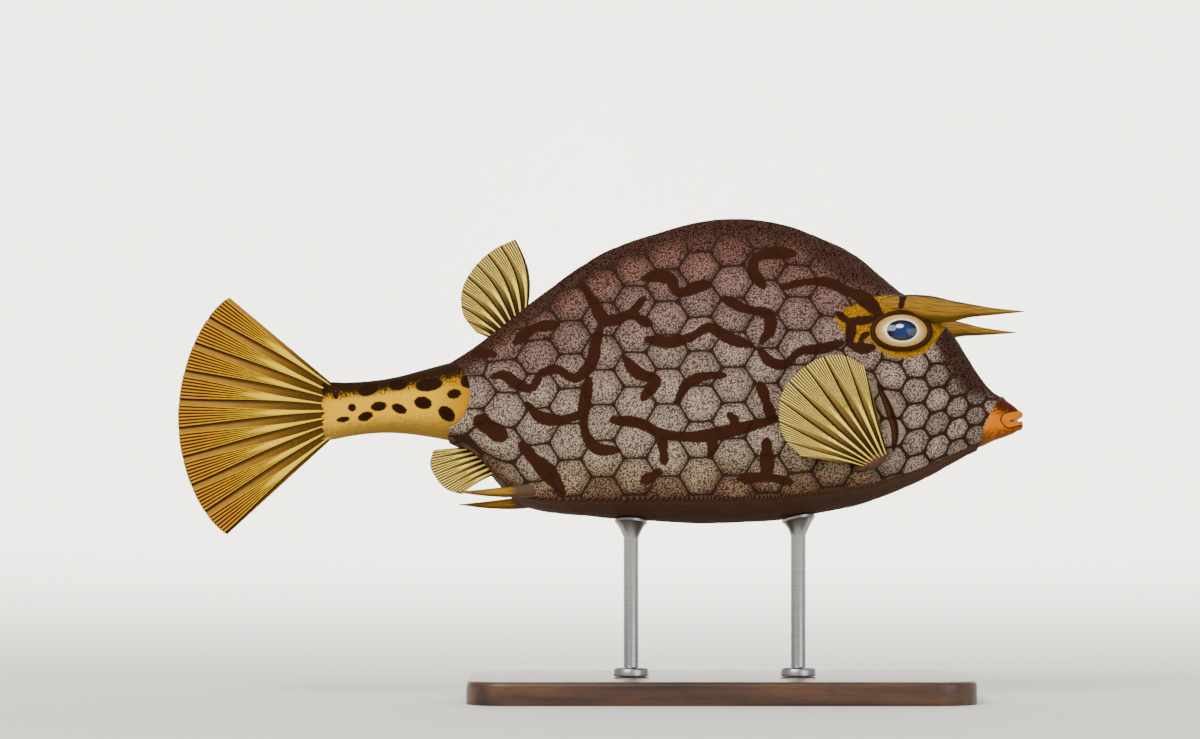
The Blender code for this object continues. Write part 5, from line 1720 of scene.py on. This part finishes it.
@dataclass(frozen=True)
class TailStalk:
    """The soft stalk between armour and tail fin, an oval that closes over the roots of the rays."""

    # x, height, half height and half width of its rings
    stops: Stops = (
        (-80.0, 6.8, 13.6, 8.2),
        (-83.6, 6.7, 15.0, 9.2),
        (-91.5, 6.6, 13.2, 8.6),
        (-100.0, 6.2, 11.3, 7.4),
        (-109.0, 5.5, 9.6, 6.0),
        (-118.0, 4.7, 9.0, 4.6),
        (-126.0, 3.9, 9.3, 3.3),
        (-131.5, 3.4, 9.9, 2.2),
        (-133.6, 3.3, 9.6, 1.1),
    )
    rings: int = 120
    sides: int = 96
    scallops: int = 10
    scallop_depth: float = 0.9
    # x, v, half length, half height and lean of each brown spot
    spots: Stops = (
        (-129.5, 8.5, 0.9, 1.1, 0.0), (-124.0, 4.6, 1.4, 1.3, 0.0), (-127.0, 0.6, 2.3, 0.9, 0.1),
        (-119.5, 1.6, 2.6, 1.5, 0.3), (-115.0, 5.0, 2.7, 1.6, 0.1), (-108.0, 4.2, 2.7, 1.5, -0.4),
        (-100.0, 6.2, 3.0, 2.1, -0.2), (-92.0, 2.5, 3.2, 2.2, -0.7), (-89.5, 9.2, 2.4, 1.6, 0.1),
        (-84.5, 0.6, 1.6, 1.1, 0.4), (-85.0, 13.4, 2.4, 2.2, 0.2), (-118.6, 10.6, 3.4, 2.0, 0.3),
        (-108.5, 12.3, 3.0, 1.9, 0.1), (-98.0, 12.2, 4.6, 2.1, 0.15),
    )

    def spot_distance(self, points: Array) -> Array:
        """Signed distance in mm to the nearest spot's edge, negative inside it."""
        v = points[:, 2] * math.cos(BANK) + np.abs(points[:, 1]) * math.sin(BANK)
        x = points[:, 0] + np.where(points[:, 1] > 0, 3.5, 0.0)
        best = np.full(len(points), 6.0)
        for at, high, half_length, half_height, lean in self.spots:
            along = (x - at) * math.cos(lean) + (v - high) * math.sin(lean)
            up = (v - high) * math.cos(lean) - (x - at) * math.sin(lean)
            reach = np.hypot(along / half_length, up / half_height)
            best = np.minimum(best, (reach - 1) * half_height)
        return best

    def build(self) -> bpy.types.Object:
        """Builds the stalk.

        Returns:
            The dressed piece.
        """
        turned = [(-x, *rest) for x, *rest in self.stops]
        xs = np.linspace(-self.stops[0][0], -self.stops[-1][0], self.rings)
        z, half_height, half_width = (
            monotone([(stop[0], stop[k]) for stop in turned], xs) for k in (1, 2, 3)
        )
        turns = full_turn(self.sides)
        y = half_width[:, None] * np.cos(turns)
        height = z[:, None] + half_height[:, None] * np.sin(turns)
        # the skin runs out in small tongues over the roots of the rays
        tongue = self.scallop_depth * np.cos(self.scallops * math.pi * np.sin(turns))
        tongue = tongue * smoothstep(128, 133.6, xs)[:, None]
        x = -xs[:, None] - tongue
        points = np.stack([x, y, height], -1).reshape(-1, 3)
        piece = mesh_piece("tail_stalk_skin", points, wrapped_faces(self.rings, self.sides))
        set_field(piece, "fish", points)
        set_field(piece, "spot", self.spot_distance(points))
        set_field(piece, "height", np.tile(np.sin(turns), self.rings))
        set_field(piece, "near_rim", smoothstep(-100, -84, points[:, 0]) * 0.85)
        close_ends(piece)
        return finish_piece(piece, StalkFinish().make(), ("tail_stalk",))


@dataclass(frozen=True)
class SnoutFinish:
    """Soft moist skin of the snout and lips: orange, with painted shade above and below its middle and a
    painted shadow line in the fold round the lips.
    """

    snout: str = "#D67404"
    # above: the painted shade's colour, used above and below the snout's middle
    above: str = "#4A1E0E"
    lips: str = "#CE6E04"
    # fold: a painted shadow line in the crease round the lips
    fold: str = "#3E1E06"
    inside: str = "#FFF6D0"

    def make(self) -> bpy.types.Material:
        """The snout's material, reading the fields that Snout stores."""
        paint = Paint("Moist_lip_skin", PAINTED)
        read = {
            key: paint.add("Attribute", out="Fac", attribute_name=key) for key in (
                "lip", "height", "gape"
            )
        }
        place = paint.add("Attribute", out="Vector", attribute_name="fish")
        stretched = paint.add("VectorMath", {0: place, 1: (0.35, 1.4, 1.4)}, operation="MULTIPLY")
        wrinkle = paint.add("TexNoise", {"Vector": stretched, "Scale": 1.2, "Detail": 3.0}, "Fac")
        shaken = paint.add("Math", {0: wrinkle, 1: 0.8, 2: read["height"]}, operation="MULTIPLY_ADD")
        # painted shade that rounds the snout: darker above its middle, and below it
        above = paint.add("MapRange", {"Value": shaken, "From Min": 0.38, "From Max": 0.95}, **SOFT)
        below = paint.add(
            "MapRange", {"Value": shaken, "From Min": 0.1, "From Max": -0.4, "To Max": 0.8}, **SOFT
        )
        lips = paint.add("MapRange", {"Value": read["lip"], "From Min": 0.1, "From Max": -0.2}, **SOFT)
        away = paint.add("Math", {0: read["lip"]}, operation="ABSOLUTE")
        # painted shadow line in the fold round the lips
        fold = paint.add("MapRange", {"Value": away, "From Min": 0.3, "From Max": 0.12}, **SOFT)
        colour = paint.coats(self.snout,
            [
                (above, self.above),
                (below, self.above),
                (lips, self.lips),
                (fold, self.fold),
                (read["gape"], self.inside),
            ],
        )
        return paint.done({"Base Color": colour, "Roughness": 0.36}, wrinkle, 0.45, 0.15)


@dataclass(frozen=True)
class ToothFinish:
    """Tooth enamel: cream, smooth and glossy, clouded with a darker tan."""

    enamel: str = "#EADFC4"
    root: str = "#B08A56"

    def make(self) -> bpy.types.Material:
        """The teeth's material."""
        paint = Paint("Tooth_enamel", PAINTED)
        place = paint.add("TexCoord", out="Object")
        cloud = paint.add("TexNoise", {"Vector": place, "Scale": 1500.0, "Detail": 2.0}, "Fac")
        colour = paint.coats(self.enamel, [(cloud, self.root)])
        return paint.done({"Base Color": colour, "Roughness": 0.25, "IOR": 1.62})


@dataclass(frozen=True)
class Snout:
    """The fleshy snout with its small, slightly open mouth, full lips and a row of teeth in each jaw."""

    # x of the ring's middle, its height, half height, half width and forward lean of its top
    rings: Stops = (
        (88.2, -0.6, 8.6, 7.4, -0.45),
        (91.0, -0.3, 8.7, 7.6, -0.45),
        (94.4, 0.2, 6.9, 6.1, -0.30),
        (97.4, 0.3, 5.5, 5.0, -0.15),
        (99.4, 0.3, 4.4, 4.2, -0.05),
        (100.9, 0.3, 3.1, 3.2, 0.0),
        (101.8, 0.3, 1.9, 2.2, 0.0),
        (102.2, 0.3, 0.8, 1.0, 0.0),
    )
    sides: int = 48
    steps: int = 28
    lip_middle_x: float = 96.9
    lip_reach: float = 3.75
    lip_half_width: float = 3.3
    corner_z: float = -0.9
    slope: float = 0.28
    spread: tuple[float, float] = (0.85, 1.85)
    lip_radius: tuple[float, float] = (1.15, 1.55)
    lip_turn: float = math.radians(100)
    lip_stops: int = 41
    gape: float = 1.6
    gape_from: float = 97.2
    fold_below: float = 2.2  # how far the fold round the lips is from the mouth
    fold_above: float = 3.0
    mouth_x: float = 102.2
    voxel_mm: float = 0.16
    teeth: int = 7
    teeth_turn: float = math.radians(48)
    tooth_radius: float = 0.4
    tooth_length: float = 1.3
    tooth_taper: tuple[float, ...] = (1, 1, 0.98, 0.94, 0.86, 0.66, 0.3)
    tooth_sides: int = 12

    def lip_line(self, spread: float, turns: Array) -> Array:
        """The middle of one lip, 1 the upper and -1 the lower, at turns from straight ahead."""
        front = np.clip(np.cos(turns), 0, None)
        x = self.lip_middle_x + self.lip_reach * np.cos(turns)
        apart = between(self.spread, front)
        z = self.corner_z + (x - self.lip_middle_x) * self.slope + spread * apart
        return np.stack([x, self.lip_half_width * np.sin(turns), z], 1)

    def tube(self, line: Array, radii: Array, sides: int = 20) -> tuple[Array, Array]:
        """Points and faces of a round tube along a line."""
        tangent = unit(np.gradient(line, axis=0))
        across = unit(np.cross(tangent, (0.0, 0.05, 1.0)))
        up = np.cross(across, tangent)
        turns = full_turn(sides)[None, :, None]
        ring = across[:, None] * np.cos(turns) + up[:, None] * np.sin(turns)
        points = line[:, None] + radii[:, None, None] * ring
        return points.reshape(-1, 3), wrapped_faces(len(line), sides)

    def skin(self) -> bpy.types.Object:
        """The snout and lips, fused into one skin with the mouth cut open."""
        xs = np.linspace(0, 1, self.steps)
        reads = curve_through(self.rings, xs)
        turns = full_turn(self.sides)
        high = reads[:, 2:3] * np.sin(turns)
        points = np.stack(
            [reads[:, :1] - reads[:, 4:5] * high, reads[:, 3:4] * np.cos(turns), reads[:, 1:2] + high], -1
        )
        parts = [mesh_piece("snout_skin", points.reshape(-1, 3), wrapped_faces(self.steps, self.sides))]
        lip_turns = np.linspace(-self.lip_turn, self.lip_turn, self.lip_stops)
        front = np.clip(np.cos(lip_turns), 0, None)
        radii = between(self.lip_radius, front)
        for number, spread in enumerate((1.0, -1.0)):
            parts.append(mesh_piece(f"lip_{number}", *self.tube(self.lip_line(spread, lip_turns), radii)))
        for part in parts:
            close_ends(part)
        body = join_parts(parts)
        apply_modifier(body, "REMESH", mode="VOXEL", voxel_size=self.voxel_mm * MM)
        cutter = self.wedge()
        apply_modifier(body, "BOOLEAN", object=cutter, operation="DIFFERENCE", solver="EXACT")
        bpy.data.objects.remove(cutter)
        apply_modifier(body, "REMESH", mode="VOXEL", voxel_size=self.voxel_mm * MM)
        apply_modifier(body, "SMOOTH", factor=0.5, iterations=12)
        return body

    def wedge(self) -> bpy.types.Object:
        """The open mouth: a wedge that narrows to the corners."""
        back, front = self.gape_from, self.mouth_x + 4
        z_back, z_front = (self.corner_z + (x - self.lip_middle_x) * self.slope for x in (back, front))
        half = self.gape * (front - back) / (self.mouth_x - back) / 2
        profile = [
            (back, z_back + 0.15), (front, z_front + half), (front, z_front - half), (back, z_back - 0.15)
        ]
        points = np.array([(x, y, z) for y in (-9.0, 9.0) for x, z in profile])
        cutter = mesh_piece("mouth_cutter", points, wrapped_faces(2, 4))
        close_ends(cutter)
        return cutter

    def build(self) -> bpy.types.Object:
        """Builds the snout.

        Returns:
            The dressed piece.
        """
        piece = self.skin()
        places = fish_points(piece)
        ends = np.array([self.gape_from, self.mouth_x])
        mouth = np.stack([ends, self.corner_z + (ends - self.lip_middle_x) * self.slope], 1)
        middle = self.corner_z + (places[:, 0] - self.lip_middle_x) * self.slope
        upper = smoothstep(-1.0, 1.5, places[:, 2] - middle)
        fold = between((self.fold_below, self.fold_above), upper)
        away = distance_to_line(places[:, (0, 2)], mouth) - fold
        half_height = monotone([(ring[0], ring[2]) for ring in self.rings], places[:, 0])
        narrow = np.clip(
            (places[:, 0] - self.gape_from) / (self.mouth_x - self.gape_from), 0, 1
        ) * self.gape / 2
        within = smoothstep(0.25, -0.1, np.abs(places[:, 2] - middle) - narrow)
        across = places[:, 1] * self.lip_reach / self.lip_half_width
        out = np.hypot(places[:, 0] - self.lip_middle_x, across)
        deep = smoothstep(self.lip_reach + 1.0, self.lip_reach - 0.2, out)
        set_field(piece, "fish", places)
        set_field(piece, "lip", away)
        set_field(piece, "height", places[:, 2] / half_height)
        set_field(piece, "gape", within * deep)
        return finish_piece(piece, SnoutFinish().make(), ("snout",))

    def jaws(self) -> bpy.types.Object:
        """Both rows of teeth, small rounded pegs, as one piece."""
        parts = []
        for spread in (1.0, -1.0):
            turns = np.linspace(-self.teeth_turn, self.teeth_turn, self.teeth)
            for root in self.lip_line(spread, turns):
                root = root - (0.45, 0, spread * 0.2)
                tip = root - (0, 0, spread * (self.lip_radius[1] + self.tooth_length - 0.8))
                line = np.linspace(root, tip, len(self.tooth_taper))
                radii = self.tooth_radius * np.array(self.tooth_taper)
                part = mesh_piece("tooth", *self.tube(line + (0, 0.0001, 0), radii, self.tooth_sides))
                close_ends(part)
                parts.append(part)
        piece = join_parts(parts)
        piece.name = piece.data.name = "teeth"
        return finish_piece(piece, ToothFinish().make())


@dataclass(frozen=True)
class WoodFinish:
    """Dark stained, waxed hardwood: satin, with fine straight grain along the plate."""

    light: str = "#5A3822"
    dark: str = "#2A1810"
    ring_mm: float = 5.0
    pore_mm: float = 0.5

    def make(self) -> bpy.types.Material:
        """The wood, grained along X."""
        paint = Paint("Stained_walnut", BARE)
        place = paint.add("TexCoord", out="Object")
        drawn = paint.add("Mapping", {"Vector": place, "Scale": (0.09, 1.0, 1.0)}, "Vector")
        bent = paint.add("TexNoise", {"Vector": drawn, "Scale": 30.0, "Detail": 3.0}, "Color")
        path = paint.add("VectorMath", {0: bent, 1: (0.004, 0.02, 0.02)}, operation="MULTIPLY")
        path = paint.add("VectorMath", {0: path, 1: drawn}, operation="ADD")
        rings = paint.add("TexNoise", {"Vector": path, "Scale": 1000 / self.ring_mm, "Detail": 2.0}, "Fac")
        pores = paint.add("TexNoise", {"Vector": path, "Scale": 1000 / self.pore_mm, "Detail": 3.0}, "Fac")
        tone = paint.add("MapRange", {"Value": rings, "From Min": 0.3, "From Max": 0.7})
        fine = paint.add("MapRange", {"Value": pores, "From Min": 0.5, "From Max": 0.75, "To Max": 0.6})
        colour = paint.coats(self.dark, [(tone, self.light), (fine, self.dark)])
        return paint.done({"Base Color": colour, "Roughness": 0.38, "IOR": 1.5}, pores, 0.25, 0.1)


@dataclass(frozen=True)
class SteelFinish:
    """Brushed stainless steel rod: soft streaks round it from polishing in a lathe."""

    steel: str = "#B9B9B8"
    worn: str = "#8F8F8E"
    brush_mm: float = 0.25

    def make(self) -> bpy.types.Material:
        """The rods' steel, brushed round them."""
        paint = Paint("Brushed_stainless_steel", BARE)
        place = paint.add("TexCoord", out="Object")
        drawn = paint.add("Mapping", {"Vector": place, "Scale": (0.05, 0.05, 1.0)}, "Vector")
        streak = paint.add("TexNoise", {"Vector": drawn, "Scale": 1000 / self.brush_mm, "Detail": 2.0}, "Fac")
        colour = paint.coats(self.steel, [(streak, self.worn)])
        rough = paint.add("MapRange", {"Value": streak, "To Min": 0.24, "To Max": 0.42})
        return paint.done({"Base Color": colour, "Roughness": rough, "Metallic": 1.0})


@dataclass(frozen=True)
class Stand:
    """The plain display stand: a wooden plate and two steel rods with pads that lie under the belly."""

    body: BodyForm
    length: float = 170.0
    width: float = 86.0
    thickness: float = 9.0
    corner: float = 14.0
    edge: float = 1.6
    foot_edge: float = 0.4
    corner_steps: int = 16
    edge_steps: int = 5
    foot_steps: int = 2
    rods: tuple[tuple[str, float], ...] = (("front", 26.0), ("rear", -30.0))
    rod_radius: float = 2.5
    ferrule_radius: float = 6.0
    ferrule_height: float = 3.0
    pad_radius: float = 5.5
    pad_thickness: float = 1.2
    clear: float = 1.05
    sides: int = 64

    def base(self) -> bpy.types.Object:
        """The plate: a block with rounded corners, a softened upper edge and a small chamfer under it."""
        deselect()
        bpy.ops.mesh.primitive_cube_add(size=1.0)
        piece = bpy.context.object
        piece.name = piece.data.name = "stand_plate"
        size = Matrix.Diagonal((self.length, self.width, self.thickness, 1.0)) * MM
        piece.data.transform(Matrix.Translation((0, 0, self.thickness / 2 * MM)) @ size.to_3x3().to_4x4())
        bpy.ops.object.mode_set(mode="EDIT")
        select_edges(piece, lambda edge: abs(edge.verts[0].co.z - edge.verts[1].co.z) > MM)
        bpy.ops.mesh.bevel(offset=self.corner * MM, segments=self.corner_steps, affect="EDGES")
        top = self.thickness * MM
        select_edges(piece, lambda edge: all(vert.co.z > top - EDGE_SLACK for vert in edge.verts))
        bpy.ops.mesh.bevel(offset=self.edge * MM, segments=self.edge_steps, affect="EDGES")
        select_edges(piece, lambda edge: all(vert.co.z < EDGE_SLACK for vert in edge.verts))
        bpy.ops.mesh.bevel(offset=self.foot_edge * MM, segments=self.foot_steps, affect="EDGES")
        bpy.ops.object.mode_set(mode="OBJECT")
        return finish_piece(piece, WoodFinish().make(), ("stand_base",), 30.0)

    def under_belly(self, x: float, radius: float, turns: Array, clear: float) -> Array:
        """Points under the belly round the rod's axis, in the stand's frame, in mm."""
        at = x + radius * np.cos(turns)
        share = 1 - radius * np.sin(turns) / self.body.total(at)
        return to_stand(self.body.point(at, share) + self.body.normal(at, share) * clear) / MM

    def rod(self, label: str, x: float, finish: bpy.types.Material) -> bpy.types.Object:
        """One rod.

        Args:
            label: which rod.
            x: its place along the fish.
            finish: its material.

        Returns:
            The dressed piece.
        """
        turns = full_turn(self.sides)
        axis = self.under_belly(x, 0.0, np.zeros(1), self.clear)[0]
        seat = self.thickness + GAP
        top = seat + self.ferrule_height
        foot, rod = self.ferrule_radius, self.rod_radius
        profile = [(foot - 0.3, seat), (foot, seat + 0.3), (foot, top - 0.9)]
        profile += [
            (foot - 0.3, top - 0.4),
            (foot - 0.9, top),
            (rod + 0.5, top),
            (rod + 0.1, top + 0.15),
            (rod, top + 0.6),
        ]
        profile += [(rod, axis[2] - 6.4), (rod + 0.15, axis[2] - 5.6), (rod + 0.9, axis[2] - 3.8)]
        rings = [
            np.stack([axis[0] + r * np.cos(turns), axis[1] + r * np.sin(turns), np.full(self.sides, z)], 1)
            for r, z in profile
        ]
        pad = self.pad_radius
        rings += [
            self.under_belly(x, radius, turns, self.clear + down)
            for radius, down in (
                (pad - 0.7, self.pad_thickness + 0.25),
                (pad - 0.1, self.pad_thickness - 0.1),
                (pad, 0.35),
                (pad - 0.3, 0.0),
                (0.5 * pad, 0.0),
            )
        ]
        points = np.concatenate(rings)
        piece = mesh_piece(
            f"stand_rod_{label}_turned",
            points,
            wrapped_faces(len(rings), self.sides),
            lambda places: places * MM,
        )
        close_ends(piece)
        return finish_piece(piece, finish, (f"stand_rod_{label}",), 35.0)

    def build(self) -> None:
        """Builds the plate and both rods."""
        self.base()
        steel = SteelFinish().make()
        for label, x in self.rods:
            self.rod(label, x, steel)


def build_rest(body: BodyForm, markings: Markings, eye: EyeForm) -> None:
    """Horns, spines, snout, stalk, fins and stand."""
    horn = HornFinish().make("Ochre_horn_keratin")
    thorn = HornFinish(skin="#54402F").make("Ochre_spine_keratin")
    brow = Spike(
        (
            (48.0, 11.5, 36.0, 1.4),
            (54.5, 13.4, 37.0, 2.8),
            (62.4, 14.8, 37.0, 3.7),
            (69.5, 16.4, 35.6, 4.5),
            (77.0, 18.3, 34.5, 3.7),
            (83.0, 19.4, 34.5, 2.4),
            (89.0, 20.5, 34.1, 1.5),
            (101.6, 21.8, 33.8, 0.12),
        ),
        rings=90,
        bare_from=64.0,
    )
    spine = Spike(
        (
            (-46.0, 13.0, -22.5, 1.2), (-58.0, 13.4, -24.6, 2.0), (-68.0, 14.5, -25.9, 2.0),
            (-77.0, 15.0, -26.4, 1.35), (-88.4, 15.6, -26.3, 0.12),
        ),
        rings=60,
        sides=32,
        root_x=-69.5,
    )
    for side in Side:
        brow.build(f"horn_{side.label}_whole", side, horn, markings, (f"horn_{side.label}",))
        spine.build(f"belly_spine_{side.label}_whole", side, thorn, markings, (f"belly_spine_{side.label}",))
    snout = Snout()
    snout.build()
    snout.jaws()
    TailStalk().build()
    sheets = FinSheets(body)
    tail_finish = FinFinish(
        "Golden_tail_membrane", "#E8C02C", "#BC7E18", "#A07228", "#47300F", "#180B00"
    ).make()
    fin_finish = FinFinish(
        "Yellow_fin_membrane", "#F8DA5C", "#E0C264", "#8E7238", "#2E1E0C", "#140A02"
    ).make()
    tail = RayedFin("tail_fan", sheets.tail, 9, 70, 60)
    tail.build(tail_finish, "tail_membrane", ("tail_fin",))
    dorsal = RayedFin(
        "dorsal_fan",
        sheets.upright(sheets.dorsal_root, sheets.dorsal_margin, False, 2.6, 1.2),
        8,
        50,
        40,
        ray_half=(0.7, 0.28),
        ray_half_width=(0.15, 0.42),
        fanned=(0.15, 1.0),
        shade_side=-1.0,
        branches=5,
    )
    dorsal.build(fin_finish, "fin_membrane", ("dorsal_fin",))
    anal = RayedFin(
        "anal_fan",
        sheets.upright(sheets.anal_root, sheets.anal_margin, True, 0.6, -0.8),
        7,
        40,
        34,
        ray_half=(0.55, 0.25),
        ray_half_width=(0.2, 0.5),
        branches=3,
    )
    anal.build(fin_finish, "fin_membrane", ("anal_fin",))
    pad, flesh = PectoralPad(body, sheets), PadFinish().make()
    for side in Side:
        pectoral = RayedFin(
            f"pectoral_fan_{side.label}",
            sheets.pectoral(side),
            8,
            60,
            52,
            ray_half_width=(0.16, 0.47),
            fanned=(0.3, 1.05),
            shade_side=-1.0,
        )
        pectoral.build(fin_finish, "fin_membrane", (f"pectoral_fin_{side.label}",))
        pad.build(side, flesh)
    Stand(body).build()


# The studio


@dataclass(frozen=True)
class Studio:
    """A pale floor that sweeps up into a backdrop, soft lights and the camera."""

    camera_x: float = -0.0405
    camera_height: float = 0.1124
    camera_away: float = 2.2
    frame_width: float = 0.4047
    sensor_mm: float = 36.0
    paper: str = "#E9E8E2"
    floor: tuple[float, float] = (8.0, 3.6)
    # how far back and how far up each step of the rising sheet goes, in metres
    rise: Stops = ((0.35, 0.05), (0.25, 0.2), (0.1, 0.35), (0.02, 0.6), (0.0, 1.8))

    def sweep(self) -> None:
        """The floor and backdrop as one smooth sheet."""
        deselect()
        bpy.ops.mesh.primitive_plane_add(size=1.0, location=(0, 0, 0))
        piece = bpy.context.object
        piece.name = "studio_sweep"
        piece.data.transform(Matrix.Diagonal((*self.floor, 1.0, 1.0)))
        bpy.ops.object.mode_set(mode="EDIT")
        select_edges(piece, lambda edge: all(vert.co.y > 0 for vert in edge.verts))
        for across, up in self.rise:
            bpy.ops.mesh.extrude_region_move(TRANSFORM_OT_translate={"value": (0, across, up)})
        bpy.ops.object.mode_set(mode="OBJECT")
        apply_modifier(piece, "SUBSURF", levels=3, render_levels=3)
        piece.data.shade_smooth()
        paint = Paint("Matt_paper_sweep", BARE)
        place = paint.add("TexCoord", out="Object")
        fibre = paint.add("TexNoise", {"Vector": place, "Scale": 3.0, "Detail": 4.0}, "Fac")
        colour = paint.coats(self.paper, [(fibre, "#E3E2DB")])
        piece.data.materials.append(paint.done({"Base Color": colour, "Roughness": 0.9}))

    def light(
        self,
        name: str,
        place: Triple,
        aim: Triple,
        size: float,
        power: float,
        tint: str,
        spread: float = 180.0,
    ) -> None:
        """One soft square light.

        Args:
            name: its name.
            place: where it hangs.
            aim: where it points.
            size: how wide it is, in metres.
            power: in watts.
            tint: its colour.
            spread: the whole angle of its cone, in degrees.
        """
        lamp = bpy.data.lights.new(name, "AREA")
        lamp.size, lamp.energy, lamp.color = size, power, linear(tint)[:3]
        lamp.spread = math.radians(spread)
        held = bpy.data.objects.new(name, lamp)
        held.location = place
        held.rotation_euler = (Vector(aim) - Vector(place)).to_track_quat("-Z", "Y").to_euler()
        bpy.context.scene.collection.objects.link(held)

    def build(self) -> None:
        """Sets floor, lights, world and camera."""
        self.sweep()
        fish = (0.0, 0.0, AXIS_HEIGHT * MM)
        self.light("key_light", (-0.9, -1.5, 1.5), fish, 1.2, 50.0, "#FFFDF8")
        self.light("fill_light", (1.4, -1.6, 0.7), fish, 1.4, 16.0, "#F6F9FF")
        self.light("top_light", (0.2, 0.9, 1.5), fish, 1.4, 10.0, "#FFFFFF")
        self.light("backdrop_light", (0.0, 0.9, 1.9), (0.0, 2.2, 0.2), 1.6, 88.0, "#FFFDF6", 105.0)
        world = bpy.data.worlds.new("soft_room")
        world.use_nodes = True
        world.node_tree.nodes["Background"].inputs["Color"].default_value = linear("#F2F4F6")
        world.node_tree.nodes["Background"].inputs["Strength"].default_value = 0.62
        bpy.context.scene.world = world
        lens = bpy.data.cameras.new("camera")
        lens.sensor_width = self.sensor_mm
        lens.lens = self.sensor_mm * self.camera_away / self.frame_width
        lens.clip_start, lens.clip_end = 0.1, 30.0
        camera = bpy.data.objects.new("camera", lens)
        camera.location = (self.camera_x, -self.camera_away, self.camera_height)
        camera.rotation_euler = (math.pi / 2, 0, 0)
        bpy.context.scene.collection.objects.link(camera)
        bpy.context.scene.camera = camera


def main() -> None:
    """Builds every piece, in order, and the studio."""
    logging.basicConfig(level=logging.INFO, format="%(name)s: %(message)s")
    body = BodyForm()
    lattice, markings, eye = PlateLattice(body), Markings(body), EyeForm(body)
    Carapace(body, lattice, markings, eye).build()
    for side in Side:
        eye.ball(side)
        eye.lids(side)
    build_rest(body, markings, eye)
    Studio().build()


if __name__ == "__main__":
    main()
